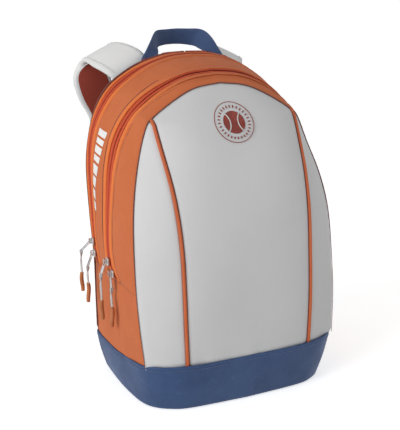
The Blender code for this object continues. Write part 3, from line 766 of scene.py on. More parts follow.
def attach(obj, family, slot, lower=(), upper=()):
    """Puts a piece on its body, or cuts a front piece at the fold into a lower and an upper piece, and hides
    the CAD nodes it stands for.
    """
    if family == "front":
        below, above = divide_at_fold(obj)
        if below:
            attach(below, "main", slot, lower)
        if above:
            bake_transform(above)
            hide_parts(*upper)
        return
    if family == "main":
        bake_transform(obj)
    else:
        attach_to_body(obj, family)
    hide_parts(*lower, *upper)


def add_trim(obj, body):
    """Puts a piece that no CAD node has on its body."""
    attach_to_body(obj, body)


# ---------------------------------------------------------------- base
BASE_STEPS = 130
BASE_RINGS = 26
BASE_FOOT = 5.0       # where the base's rounded lower edge ends
RIM_RISE = 1.2        # the rim's rolled edge above the CAD's
RIM_STITCHES = 0.92   # their height as a share of the base's


def base_outline(half_low, half_high, share, grow):
    """One ring of the base, and the same ring's outward directions."""
    half = half_low + (half_high - half_low) * share
    ring = np.vstack([half, half[1:-1][::-1] * MIRROR])
    ahead = np.roll(ring, -1, axis=0) - np.roll(ring, 1, axis=0)
    out = unit(np.stack([ahead[:, 1], -ahead[:, 0], np.zeros(len(ring))], axis=1))
    if (out * (ring - ring.mean(axis=0))).sum() < 0:
        out = -out
    return ring + out * grow, out


def make_base():
    half_low = smooth([(x, y, 0) for x, y in BASE_FLOOR], BASE_STEPS)
    half_high = smooth([(x, y, 0) for x, y in BASE_RIM], BASE_STEPS)
    rows = []
    for grow, height in ((-9.0, 0.0), (-5.0, 0.15), (-2.6, 0.8), (-1.0, 2.2)):
        ring, _ = base_outline(half_low, half_high, 0.0, grow)
        ring[:, 2] = height
        rows.append(ring)
    side_rows = []
    for share in np.linspace(0.0, 1.0, BASE_RINGS):
        bulge = 1.4 * math.sin(math.pi * share) + 1.3 * share
        ring, out = base_outline(half_low, half_high, share, bulge)
        ring[:, 2] = BASE_FOOT + (rim_height(ring[:, 1]) + RIM_RISE - BASE_FOOT) * share
        depth = 0.55 * share ** 2 * (1 - 0.6 * share)
        side_rows.append(ring + out * (ripple(ring * np.array([1, 1, 0.25]), 26.0, 5) * depth)[:, None])
    rows += side_rows
    for grow, lift in ((1.0, 1.9), (-0.4, 2.1), (-2.2, 1.4), (-4.2, 0.2)):
        ring, _ = base_outline(half_low, half_high, 1.0, grow)
        ring[:, 2] = rim_height(ring[:, 1]) + lift
        rows.append(ring)
    attach(shell("base_skin", np.array(rows), NAVY, wrap=True), "bag", "navy_coated_fabric", ["base_shell"])
    floor = [rows[0] * np.array([s, s, 1]) + np.array([0, 20.0 * (1 - s), 0]) for s in (1.0, 0.6, 0.25, 0.02)]
    attach(face_outwards(grid("base_underside", floor, [NAVY], wrap=True)), "bag", "navy_coated_fabric")
    normal = normals_of(np.array(side_rows))
    at = int(RIM_STITCHES * (len(side_rows) - 1))
    seam = (side_rows[at] + normal[at] * 0.2, normal[at])
    attach(stitches("base_stitches", [seam], THREAD_NAVY), "bag", "navy_coated_fabric")


# ---------------------------------------------------------------- sides
SIDE_FRONT_LOW, SIDE_FRONT_TOP, SIDE_REAR = -57.0, -44.0, 113.2   # where the side cloth starts and ends
CREASE_Y, CREASE_Z, CREASE_DEPTH = 16.95, 106.0, 2.6              # its one long crease


def side_top(y):
    """The seam over the plain side panel: level at the back and rising to the front."""
    return np.interp(y, [-60, -44, -20, 10, 28, 68, 95, 115], [172, 169, 164, 160.5, 158.5, 158, 160.5, 162])


def side_grid(side):
    across = np.linspace(0, 1, 84)
    up = np.linspace(0, 1, 46)[:, None]
    y_low = SIDE_FRONT_LOW + across * (SIDE_REAR - SIDE_FRONT_LOW)
    y_high = SIDE_FRONT_TOP + across * (SIDE_REAR - SIDE_FRONT_TOP)
    y = y_low + (y_high - y_low) * up
    z_low = rim_height(y) - 3.0
    z = z_low + (side_top(y) - z_low) * up
    s = across[None, :] + 0 * up
    front_x = seam_x(z) - 0.4
    rear_x = at_height(BACK_HALF, z)[0] - 0.4
    x = front_x + (rear_x - front_x) * s + (3.4 - 0.7 * up) * 4 * s * (1 - s) + 1.6 * np.sin(math.pi * up)
    low = np.clip(1 - (z - z_low) / 26.0, 0.0, 1.0) ** 1.5
    x += (rim_x(y) + 0.4 - x) * low
    edge = np.minimum(np.minimum(s, 1 - s) * 160.0, (1 - up) * 100.0 + 0 * s)
    x -= seam_pull(edge, 1.3, 7.0)
    from_crease = y - CREASE_Y - (z - CREASE_Z) * 0.05
    x -= CREASE_DEPTH * bell(from_crease, 6.5) * bell(z - CREASE_Z, 34.0)
    points = np.stack([x, y, z], axis=2)
    x += 0.5 * ripple(points, 46.0, 11) * np.minimum(1.0, edge / 12.0)
    x += 0.25 * ripple(points * np.array([1, 1, 0.3]), 17.0, 12) * np.exp(-(1 - up) * 6.0)
    x -= tucked(z, y)
    return np.stack([x * side, y, z], axis=2)


def make_sides():
    for hand, side in HANDS:
        rows = side_grid(side)
        normal = normals_of(rows)
        attach(shell(f"side_cloth_{hand}", rows, ORANGE), "main", "orange_fabric", [f"side_panel_{hand}"])
        top = rows[-1] + normal[-1] * 0.5
        fold = strip(f"side_seam_fold_{hand}", top[1:-1], normal[-1][1:-1], ridge(2.6, 0.9), ORANGE, 0.1)
        attach(fold, "main", "orange_fabric")
        line = (rows[-4] + normal[-4] * 0.2, normal[-4])
        sewn = stitches(f"side_seam_stitches_{hand}", [line], THREAD_BROWN, radius=0.34)
        attach(sewn, "main", "orange_fabric")


# ---------------------------------------------------------------- gussets and zips
ARCH = 260
TAPE_HALF = 6.4       # from the zip's centre line to where the fold over its tape starts
WELT_W = 8.0          # the folded cloth beside the tape
WELT_H = 1.5
STITCH_OUT = 3.6      # from a fold to the stitches beside it
ZIP_THREAD_R = 0.36


def outward(points):
    """The direction away from the bag's middle, across Y."""
    away = points * np.array([1.0, 0.0, 0.0])
    away[..., 2] = np.maximum(points[..., 2] - 250.0, 0.0)
    return unit(away)


def gusset_grid(a, b, from_a, from_b, columns, bulge, seed, end_a, end_b):
    """A strip of cloth between two arches, crowned, pulled in at its two edges."""
    gap = np.linalg.norm(b - a, axis=1)
    shares = np.linspace(0, 1, columns)
    low = (from_a / gap)[:, None]
    high = (1 - from_b / gap)[:, None]
    s = low + (high - low) * shares
    points = a[:, None] + (b - a)[:, None] * s[..., None]
    width = gap[:, None] * (high - low)
    lift = bulge * 4 * shares * (1 - shares)
    lift = lift - seam_pull(shares * width, end_a, 5.0) - seam_pull((1 - shares) * width, end_b, 5.0)
    calm = np.minimum(1.0, np.minimum(shares, 1 - shares) * width / 10.0)
    lift = lift + 0.35 * ripple(points, 60.0, seed) * calm + 0.16 * ripple(points, 21.0, seed + 1) * calm
    return points + outward(points) * lift[..., None]


def make_gussets():
    """The three orange strips over the top, cloth in grids that the zips and the mark are placed on."""
    seam = arch(FRONT_SEAM, SIDE_SEAM_Z - 4.0, ARCH)
    front, main, back = [arch(line, SIDE_SEAM_Z, ARCH) for line in (FRONT_ZIP, MAIN_ZIP, BACK_SEAM)]
    grids = {
        "front": gusset_grid(seam, front, 0.6, TAPE_HALF, 30, 1.9, 21, 1.5, 0.6),
        "middle": gusset_grid(front, main, TAPE_HALF, TAPE_HALF, 30, 1.9, 22, 0.6, 0.6),
        "back": gusset_grid(main, back, TAPE_HALF, 0.8, 10, 0.3, 23, 0.6, 1.0),
    }
    for name, family in (("front", "front"), ("middle", "main"), ("back", "bag")):
        cloth = shell(f"{name}_gusset_cloth", grids[name], ORANGE)
        attach(cloth, family, "orange_fabric", upper=[f"{name}_gusset"])
    return grids


def closing(line):
    """How far a zip's folds close over it: open on the left, where the sliders are, and shut over the top."""
    share = np.clip((line[:, 0] + 100.0) / 55.0, 0.0, 1.0)
    return share * share * (3 - 2 * share)


def zip_half(name, centre, aside, family, node, seed, welt=WELT_W):
    """One side of a zip: its tape, its row of coil and the folded cloth over the tape's edge."""
    up = outward(centre)
    toward = unit(aside - centre)
    line = centre + toward * (TAPE_HALF / 2 + 0.1) - up * 0.5
    attach(strip(f"{name}_tape", line, up, band(TAPE_HALF + 0.8, 0.9), ZIP_TAPE), family, "zip_tape",
           upper=[node])
    attach(coil(f"{name}_coil", centre + toward * 0.8 - up * 0.1, up, toward), family, "zip_tape")
    inner = TAPE_HALF + (1.1 - TAPE_HALF) * closing(centre)[:, None]
    outer = TAPE_HALF + welt
    width = (outer - inner)[..., None] / welt
    profile = np.array(ridge(welt, WELT_H))[None] * np.concatenate([width, np.ones_like(width)], axis=2)
    fold = centre + toward * (inner + outer) / 2
    # The fold's cloth carries a painted highlight on the left side.
    attach(strip(f"{name}_fold", fold, up, profile, WELT_WITH_PAINTED_HIGHLIGHT, 0.1, seed), family, "orange_fabric")


# A coil turn's sections: its place across the zip, its height and its girth.
COIL_TURN = ((-0.8, -0.3, 0.3), (-0.55, 0.35, 0.5), (0.35, 0.5, 0.5), (0.85, 0.05, 0.42))
COIL_PITCH = 1.9


def coil(name, line, up, toward):
    """A row of coil turns: short bars across the zip's edge, each a rounded hump."""
    total = np.linalg.norm(np.diff(line, axis=0), axis=1).sum()
    spaced = resample(line, int(total / COIL_PITCH), up, toward)
    tangent = unit(np.gradient(spaced[:, :3], axis=0))
    tubes = []
    for centre, top, across, ahead in zip(spaced[:, :3], spaced[:, 3:6], spaced[:, 6:], tangent):
        sections = [(centre + across * sideways + top * rise, girth, sideways)
                    for sideways, rise, girth in COIL_TURN]
        tubes.append((sections, ahead, top))
    return turned_out(thread_tubes(name, ZIP_COIL, tubes, 1.0))


def make_zips(grids):
    seam, front, main, back = [arch(line, SIDE_SEAM_Z, ARCH)
                               for line in (FRONT_SEAM, FRONT_ZIP, MAIN_ZIP, BACK_SEAM)]
    zip_half("front_zip_fore", front, seam, "front", "front_zip_front_half", 31)
    zip_half("front_zip_aft", front, main, "main", "front_zip_rear_half", 32)
    zip_half("main_zip_fore", main, front, "main", "main_zip_front_half", 33)
    zip_half("main_zip_aft", main, back, "bag", "main_zip_rear_half", 34, welt=4.6)
    beside_fold = TAPE_HALF + WELT_W + STITCH_OUT
    line, up = stitch_beside(grids["front"], front, seam, beside_fold)
    near = line[:, 0] < -55.0
    for tag, part, thread in (("left", near, THREAD_BROWN), ("right", ~near, THREAD_ORANGE)):
        sewn = stitches(f"front_zip_stitches_{tag}", [(line[part], up[part])], thread, radius=ZIP_THREAD_R)
        attach(sewn, "front", "orange_fabric")
    sewn = [stitch_beside(grids["middle"], main, front, beside_fold)]
    attach(stitches("middle_stitches", sewn, THREAD_ORANGE, radius=ZIP_THREAD_R), "main", "orange_fabric")
    # Painted shadow: a thin dark cord along the outer edge of the aft fold on the left, sunk out of sight
    # further right.
    line, up = stitch_beside(grids["middle"], front, main, TAPE_HALF + WELT_W + 0.2)
    line = line - up * 1.2 * np.clip((line[:, :1] + 75.0) / 20.0, 0.0, 1.0)
    near = line[:, 0] < -50.0
    edge = strip("front_zip_fold_edge", line[near], up[near], circle(0.5, 8), DARK_PIPING_AND_SHADOW)
    attach(edge, "main", "dark_piping")


def stitch_beside(rows, zip_line, aside, distance):
    """A line on the cloth at a distance from a zip, with its upward directions."""
    normal = normals_of_arch(rows)
    points = []
    ups = []
    for i, target in enumerate(zip_line + unit(aside - zip_line) * distance):
        j = int(np.argmin(np.linalg.norm(rows[i] - target - outward(target), axis=1)))
        points.append(target + normal[i, j] * float((rows[i, j] - target) @ normal[i, j] + 0.2))
        ups.append(normal[i, j])
    return calmed(np.array(points)), unit(calmed(np.array(ups)))


def calmed(line, reach=5):
    """A line with its small jumps averaged out."""
    padded = np.vstack([np.repeat(line[:1], reach, axis=0), line, np.repeat(line[-1:], reach, axis=0)])
    kernel = np.ones(2 * reach + 1) / (2 * reach + 1)
    calm = np.stack([np.convolve(padded[:, k], kernel, "valid") for k in range(3)], axis=1)
    calm[:reach] = line[:reach]
    calm[-reach:] = line[-reach:]
    return calm


def normals_of_arch(rows):
    """Outward normals of a strip over the top, where one mean direction would not do."""
    normal = grid_normals(rows)
    return normal * np.sign((normal * outward(rows)).sum(axis=2, keepdims=True))


# ---------------------------------------------------------------- front
def front_centre_grid():
    share = np.linspace(-1, 1, 91)
    up = np.linspace(0, 1, 121)[:, None]
    low = 58.5
    top = seam_z(share * 98.6) - 0.2
    z = low + (top - low) * up
    x = np.clip(share * (piping_x(z) - 0.6), -seam_x(z), seam_x(z))
    y = panel_y(x, z)
    to_piping = (1 - np.abs(share)) * 92.0 + 0 * z
    to_seam = (1 - up) * (top - low)
    y = y + seam_pull(to_piping, 1.5, 9.0) + seam_pull(to_seam, 1.6, 9.0)
    points = np.stack([x, y, z], axis=2)
    calm = np.minimum(1.0, np.minimum(to_piping, to_seam) / 25.0)
    y = y - 0.45 * ripple(points, 120.0, 41) * calm
    gathers = ripple(points * np.array([1, 0, 0.2]), 24.0, 42)
    y = y - 0.45 * near_base(z, 13.0) * gathers + tucked(z, y)
    return np.stack([x, y, z], axis=2)


def front_wedge_grid(side):
    s = np.linspace(0, 1, 22)[None, :]
    z = np.linspace(58.5, 356.5, 111)[:, None] + 0 * s
    near = piping_x(z) + 0.6
    far = np.maximum(seam_x(z) - 0.2, near + 0.05)
    width = far - near
    x = near + width * s
    y = panel_y(x, z) + seam_pull(s * width, 1.5, 8.0) + seam_pull((1 - s) * width, 1.6, 7.0)
    points = np.stack([x * side, y, z], axis=2)
    calm = np.minimum(1.0, np.minimum(s, 1 - s) * width / 12.0)
    y = y - 0.4 * ripple(points * np.array([1, 1, 0.8]), 60.0, 43) * calm
    folds = np.sin(points @ np.array([0.6, 0.0, 0.8]) * (2 * math.pi / 21.0))
    y = y - (0.9 if side < 0 else 0.4) * near_base(z, 22.0) * folds * calm
    inwards = tucked(z, y) * 0.8
    return np.stack([(x - inwards) * side, y + inwards, z], axis=2)


def make_front():
    attach(shell("front_centre_cloth", front_centre_grid(), WHITE), "front", "white_fabric",
           ["front_centre_lower"], ["front_centre_upper"])
    z = np.linspace(58.0, 359.0, 150)
    inwards = tucked(z, -80.0) + 2.6 * np.clip((z - 353.0) / 6.0, 0.0, 1.0)
    for hand, side in HANDS:
        attach(shell(f"front_wedge_cloth_{hand}", front_wedge_grid(side), WHITE), "front", "white_fabric",
               [f"front_wedge_{hand}_lower"], [f"front_wedge_{hand}_upper"])
        up = unit(np.repeat([[0.12 * side, -1.0, 0.15]], len(z), axis=0))
        x = piping_x(z) * side
        line = np.stack([x, panel_y(x, z) - 0.2 + inwards, z], axis=1)
        piping = strip(f"panel_piping_cloth_{hand}", line, up, circle(PIPING_R - 0.3, 12), CLAY_PIPING,
                       0.06, 44)
        attach(piping, "front", "clay_piping", [f"panel_piping_{hand}_lower"], [f"panel_piping_{hand}_upper"])
        # Painted shadow: a thin dark cord beside the piping on the centre side, for the shade in the gap
        # between piping and panel.
        x = x - side * (PIPING_R + 0.2)
        line = np.stack([x, panel_y(x, z) + 0.4 + inwards, z], axis=1)
        attach(strip(f"piping_seam_{hand}", line, up, circle(0.7, 8), DARK_PIPING_AND_SHADOW), "front", "dark_piping")
    # A dark bead along the front seam: partly piping and partly painted shadow of the seam, thinner below
    # about 260 mm.
    seam = arch(FRONT_SEAM, 59.0, 420)
    up = unit(outward(seam) + np.array([0.0, -0.8, 0.0]))
    girth = 0.5 + 0.5 * np.clip((seam[:, 2] - 150.0) / 110.0, 0.0, 1.0)
    profile = np.array(circle(0.75, 8))[None] * girth[:, None, None]
    attach(strip("front_seam_bead_and_shadow", seam - up * 0.2, up, profile, DARK_PIPING_AND_SHADOW, 0.05, 45), "front",
           "dark_piping", ["seam_piping_left_lower", "seam_piping_right_lower"], ["seam_piping_upper"])


# ---------------------------------------------------------------- emblem and side mark
DASHES = 28
# The side mark's bars from bottom to top, and its front edge and width as shares of the middle gusset's.
MARK_BARS = ((232, 244), (248, 260), (264, 277), (280, 293), (297, 305), (308, 317), (320, 327), (330, 338))
MARK_Z = (227, 262, 278, 293, 310, 335)
MARK_FROM = (0.64, 0.62, 0.52, 0.44, 0.36, 0.27)
MARK_WIDTH = (0.15, 0.17, 0.28, 0.34, 0.38, 0.42)


def on_badge(x, up, lift):
    """A point above the front panel, with the pull of the seams left out."""
    z = BADGE_Z + up * BADGE_LEAN
    return np.array([x, panel_y(x, z) - lift, z])


def emblem_line(points, width, look):
    line = np.array([on_badge(x, up, 0.55) for x, up in points])
    tops = np.repeat([[0.0, -0.82, 0.57]], len(line), axis=0)
    return closed("emblem_line", rings(line, tops, band(width, 0.7, 4)), look)


def make_emblem():
    """A plain round mark: a ring with a ball in it and a circle of dashes, all in satin stitch."""
    ball = BADGE_R * 0.56
    circuit = np.linspace(0, 2 * math.pi, 97)
    ring = [(BADGE_R * math.sin(a), BADGE_R * math.cos(a)) for a in circuit]
    pieces = [emblem_line(ring, 0.9, THREAD_CLAY)]
    disc = [[on_badge(radius * math.sin(a), radius * math.cos(a), 0.35) for a in circuit[:-1]]
            for radius in np.linspace(0.02, 1.0, 8) * ball]
    pieces.append(face_outwards(grid("ball", disc, [THREAD_CLAY], wrap=True)))
    for side in (-1, 1):
        bow = [(side * (ball * 1.22 - ball * 0.86 * math.cos(a)), ball * math.sin(a))
               for a in np.linspace(-0.95, 0.95, 41)]
        pieces.append(emblem_line(bow, 1.5, THREAD_WHITE))
    for a in turns(DASHES):
        dash = [(r * math.sin(a), r * math.cos(a)) for r in np.linspace(BADGE_R * 0.72, BADGE_R * 0.84, 4)]
        pieces.append(emblem_line(dash, 1.5, THREAD_CLAY))
    attach(join("round_emblem", pieces), "front_flap", "clay_thread", ["front_badge"])


def join(name, pieces):
    """Several meshes as one, each keeping its material."""
    bm = bmesh.new()
    looks = []
    bm.loops.layers.uv.new("cloth")
    for piece in pieces:
        look = piece.data.materials[0]
        if look not in looks:
            looks.append(look)
        before = len(bm.faces)
        bm.from_mesh(piece.data)
        bm.faces.ensure_lookup_table()
        for face in bm.faces[before:]:
            face.material_index = looks.index(look)
        bpy.data.objects.remove(piece)
    mesh = bpy.data.meshes.new(name)
    bm.to_mesh(mesh)
    bm.free()
    for look in looks:
        mesh.materials.append(look)
    mesh.shade_smooth()
    return linked(name, mesh)


def make_side_mark(rows):
    """Slanted white bars up the middle gusset on the left, printed on the cloth, wider towards the top."""
    normal = normals_of_arch(rows)
    bars = []
    for low, high in MARK_BARS:
        columns = []
        for across in np.linspace(0, 1, 7):
            column = []
            for z in np.linspace(low, high, 6) + (across - 0.5) * 3.5:
                share = np.interp(z, MARK_Z, MARK_FROM) + np.interp(z, MARK_Z, MARK_WIDTH) * across
                left = on_grid(rows, normal, share, 0.35)[len(rows) // 2:][::-1]
                column.append(at_height(left, z))
            columns.append(column)
        bars.append(face_outwards(grid(f"bar_{low}", columns, [PRINT])))
    attach(join("side_mark", bars), "main", "white_fabric")


# ---------------------------------------------------------------- back
def inset(points, distance):
    """An (x, z) outline moved inwards by a distance."""
    ahead = np.gradient(points, axis=0)
    normal = unit(np.stack([-ahead[:, 1], ahead[:, 0]], axis=1))
    facing = np.sign(((points.mean(axis=0) - points) * normal).sum(axis=1, keepdims=True))
    return points + normal * facing * distance


def make_back():
    seam = arch(BACK_SEAM, 56.0, 300)
    tuck = np.array([[-2.0, -0.5, -3.5], [-4.5, -2.5, -6.0]])
    line = resample(np.vstack([seam[0] + tuck[::-1], seam, seam[-1] + tuck * MIRROR]), 304)
    up = np.repeat([[0.0, 1.0, 0.0]], len(line), axis=0)
    binding = strip("back_binding_tape", line, up, circle(BINDING_R - 0.5, 12), DARK_PIPING_AND_SHADOW, 0.06, 51)
    attach(binding, "bag", "dark_piping", ["back_seam_binding"])
    outline = inset(BACK_HALF[:, [0, 2]], 0.5)
    foot = np.array([[outline[0, 0] - 0.2, 50.5]])
    edge = resample(np.vstack([foot, outline[outline[:, 0] > 2.0]]), 120)
    points = flat_arch(edge, 81, BACK_Y + 4.6)
    flat = np.abs(points[:, :, None, [0, 2]])
    inwards = np.linalg.norm(flat - outline[::3], axis=3).min(axis=2)
    points[..., 1] += 0.7 * ripple(points, 70.0, 52) * np.minimum(1.0, inwards / 20.0)
    points[..., 1] -= seam_pull(inwards, 3.8, 8.0)
    attach(shell("back_cloth", points, NAVY_MESH, thickness=3.2), "bag", "navy_mesh", ["back_panel"])


def inflate(obj, pressure, cap):
    """Blows a closed mesh up a little with cloth simulation, no point moving further than cap millimetres."""
    frames = 20
    start = np.array([v.co for v in obj.data.vertices])
    cloth = obj.modifiers.new("Cloth", "CLOTH")
    settings = {"quality": 5, "mass": 0.3, "tension_stiffness": 25.0, "compression_stiffness": 25.0,
                "bending_stiffness": 2.0, "use_pressure": True, "uniform_pressure_force": pressure}
    for key, value in settings.items():
        setattr(cloth.settings, key, value)
    cloth.settings.effector_weights.gravity = 0.0
    cloth.point_cache.frame_start = 1
    cloth.point_cache.frame_end = frames
    scene = bpy.context.scene
    for number in range(1, frames + 1):
        scene.frame_set(number)
    graph = bpy.context.evaluated_depsgraph_get()
    result = bpy.data.meshes.new_from_object(obj.evaluated_get(graph))
    moved = np.array([v.co for v in result.vertices]) - start
    bpy.data.meshes.remove(result)
    obj.modifiers.clear()
    scene.frame_set(1)
    far = np.linalg.norm(moved, axis=1, keepdims=True)
    moved *= np.minimum(1.0, cap * MM / np.maximum(far, 1e-9))
    obj.data.vertices.foreach_set("co", (start + moved).ravel())
    obj.data.update()


def padded(obj, body, slot, node, pressure, fill_share, finish=None):
    """Fills a piece out, smooths it and puts it on its body."""
    inflate(obj, pressure, 1.6)
    made = obj.modifiers.new("Subdivision", "SUBSURF")
    made.levels = 1
    made.render_levels = 1
    apply_modifiers(obj)
    if finish:
        finish(obj)
    attach(obj, body, slot, [node])


PAD_BOTTOM, PAD_TOP = 106.0, 372.0
PAD_LOW, PAD_HIGH = BACK_Y + 5.2, BACK_Y + 13.0
PAD_INNER = np.array([(34, 106), (26, 110), (22, 118), (22, 352), (25, 366), (30, 372)])
PAD_OUTER = np.array([(96, 106), (104, 110), (108, 118), (112, 200), (112, 300), (108, 334), (98, 354),
                      (80, 367), (60, 372)])
PAD_CHANNELS = (170.0, 235.0, 300.0)


def sew_channels(pad):
    for vertex in pad.data.vertices:
        raised = (vertex.co.y / MM - PAD_LOW) / (PAD_HIGH - PAD_LOW)
        if raised > 0.3:
            groove = sum(bell(vertex.co.z / MM - z, 3.4) for z in PAD_CHANNELS)
            vertex.co.y -= 3.4 * groove * min(1.0, raised) * MM
    pad.data.update()


def make_back_pads():
    """Two long pads with sewn channels across them."""
    for hand, side in HANDS:
        rows = []
        for z in np.linspace(PAD_BOTTOM, PAD_TOP, 68):
            inner, outer = [np.interp(z, edge[:, 1], edge[:, 0]) for edge in (PAD_INNER, PAD_OUTER)]
            x = inner + (outer - inner) * (1 - np.cos(np.linspace(0, math.pi, 25))) / 2
            depth = np.minimum(np.minimum(x - inner, outer - x), min(z - PAD_BOTTOM, PAD_TOP - z))
            rise = 0.22 + 0.78 * np.sqrt(1 - (1 - np.minimum(depth / 10.0, 1.0)) ** 2)
            ring = [(side * a, PAD_LOW, z) for a in x]
            ring += [(side * a, PAD_LOW + (PAD_HIGH - PAD_LOW) * b, z) for a, b in zip(x[::-1], rise[::-1])]
            rows.append(ring)
        pad = closed(f"back_pad_cloth_{hand}", rows, NAVY_MESH)
        padded(pad, "bag", "navy_mesh", f"back_pad_{hand}", 4.0, 0.6, sew_channels)


# ---------------------------------------------------------------- handle
def ribbon_rings(top, low, thickness):
    """Closed rings round a ribbon between two edge lines, with rounded edges."""
    across = unit(low - top)
    tangent = unit(np.gradient((top + low) / 2, axis=0))
    normal = unit(np.cross(tangent, across))
    shares = np.linspace(0, 1, 9)
    upper = [top + (low - top) * s + normal * thickness / 2 for s in shares]
    lower = [top + (low - top) * s - normal * thickness / 2 for s in shares[::-1]]
    edge_low = low + across * thickness * 0.35
    edge_top = top - across * thickness * 0.35
    return np.stack([*upper, edge_low, *lower, edge_top], axis=1), normal


def make_handle():
    top, low = [mirrored(smooth(edge, 61)) for edge in (HANDLE_TOP, HANDLE_LOW)]
    rows, normal = ribbon_rings(top, low, WEBBING_T)
    attach(closed("handle_webbing", rows, NAVY_WEB), "handle", "navy_webbing", ["carry_handle"])
    lines = [(top + (low - top) * share + normal * face * 0.95, normal * face)
             for share in (0.09, 0.91) for face in (1, -1)]
    sewn = stitches("handle_stitches", lines, THREAD_NAVY, pitch=3.2, length=2.4, radius=0.32)
    add_trim(sewn, "handle")


# ---------------------------------------------------------------- straps
STRAP_STEPS = 92
STRAP_COLUMNS = 15


def strap_ring(inner, outer, across, normal, h):
    """One ring of a strap: its outer face, its outer edge, its inner face and its inner edge."""
    shares = np.linspace(0.03, 0.97, STRAP_COLUMNS)
    width = outer - inner
    ring = [inner + width * s + normal * (h + 0.7 * math.sin(math.pi * s)) for s in shares]
    ring += [outer + normal * h * 0.62, outer + across * 0.3, outer - normal * h * 0.62]
    ring += [inner + width * s - normal * (h + 0.2 * math.sin(math.pi * s)) for s in shares[::-1]]
    return ring + [inner - normal * h * 0.62, inner - across * 0.3, inner + normal * h * 0.62]


def lining_side(j):
    """1 on the columns of a strap's inner face, which are clay, and 0 on the white rest."""
    first = STRAP_COLUMNS + 3
    return 1 if first < j < first + STRAP_COLUMNS - 2 else 0


def make_strap(hand, side):
    """A padded strap: white face and side walls, clay lining on the inner face, a thin bead at its border."""
    inner, outer = [smooth([(side * x, y, z) for x, y, z in over + down], STRAP_STEPS)
                    for over, down in zip(STRAP_OVER[hand], STRAP_DOWN)]
    across = unit(outer - inner)
    normal = unit(np.cross(unit(np.gradient((inner + outer) / 2, axis=0)), across))
    if normal[len(normal) // 2, 1] < 0:
        normal = -normal
    half = STRAP_T / 2
    rows = []
    for i in range(STRAP_STEPS):
        end = min(1.0, i / 4.0, (STRAP_STEPS - 1 - i) / 4.0)
        h = half * (0.45 + 0.55 * math.sin(math.pi / 2 * end))
        rows.append(strap_ring(inner[i], outer[i], across[i], normal[i], h))
    body = f"strap_{hand}"
    strap = closed(f"strap_cloth_{hand}", rows, STRAP_WHITE, LINING, face_look=lining_side)
    padded(strap, body, "white_fabric", f"shoulder_strap_{hand}", 3.0, 0.5)
    sewn = []
    for edge, share in (("inner", 0.1), ("outer", 0.9)):
        middle = inner + (outer - inner) * share
        line = middle - normal * (half + 0.35)
        bead = strip(f"strap_bead_{hand}_{edge}", line[2:-2], -normal[2:-2], circle(0.8, 8), STRAP_WHITE)
        add_trim(bead, body)
        sewn.append(((middle + normal * (half + 1.0))[3:-3], normal[3:-3]))
    add_trim(stitches(f"strap_stitches_{hand}", sewn, THREAD_WHITE), body)


def flat_strap(name, points, steps=40):
    """Flat webbing along points, its width across X."""
    line = smooth(points, steps)
    tangent = unit(np.gradient(line, axis=0))
    side = np.repeat([[1.0, 0.0, 0.0]], steps, axis=0)
    side = unit(side - tangent * (side * tangent).sum(axis=1, keepdims=True))
    rows, _ = ribbon_rings(line - side * WEBBING_W / 2, line + side * WEBBING_W / 2, WEBBING_T)
    return closed(name, rows, NAVY_WEB)


def make_lower_webbing(hand, side):
    """The webbing from the bag's corner through the ladder lock, its free end and its sewn tab."""
    x = side * BUCKLE_X
    low = [(side * 117.0, 124.5, 66.0), (side * 112.0, 128.0, 80.0), (side * 100.0, 138.0, 108.0),
           (x + side * 2.0, 147.0, 135.5)]
    adjuster = flat_strap(f"adjuster_strap_{hand}", low)
    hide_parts(f"adjuster_webbing_{hand}")
    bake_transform(adjuster)
    through = [low[-1], (x, 148.4, 139.0), (x, 153.0, 142.5), (x, 153.5, 146.0)]
    add_trim(flat_strap(f"buckle_lace_{hand}", through, 16), f"buckle_{hand}")
    tail = [through[-1], (x, 155.5, 136.0), (x, 156.0, 110.0), (x, 155.0, 86.0)]
    end = flat_strap(f"webbing_end_{hand}", tail)
    attach(end, f"buckle_{hand}", "navy_webbing", [f"webbing_tail_{hand}"])
    corners = np.array([(134.0, 56.0), (134.0, 96.0), (104.0, 82.0), (104.0, 60.0), (110.0, 56.0)])
    outline = resample(np.vstack([corners, corners[:1]]), 61)[:-1]
    middle = outline.mean(axis=0)
    rows = []
    for share, y in ((0.02, 0.0), (0.6, 0.0), (0.96, 0.0), (1.0, 0.4), (1.0, 1.6), (0.95, 2.2), (0.6, 2.3),
                     (0.02, 2.3)):
        ring = middle + (outline - middle) * share
        rows.append(np.stack([ring[:, 0] * side, np.full(len(ring), BACK_Y + 5.4 + y), ring[:, 1]], axis=1))
    attach(closed(f"anchor_patch_{hand}", rows, NAVY), "bag", "navy_coated_fabric", [f"anchor_tab_{hand}"])


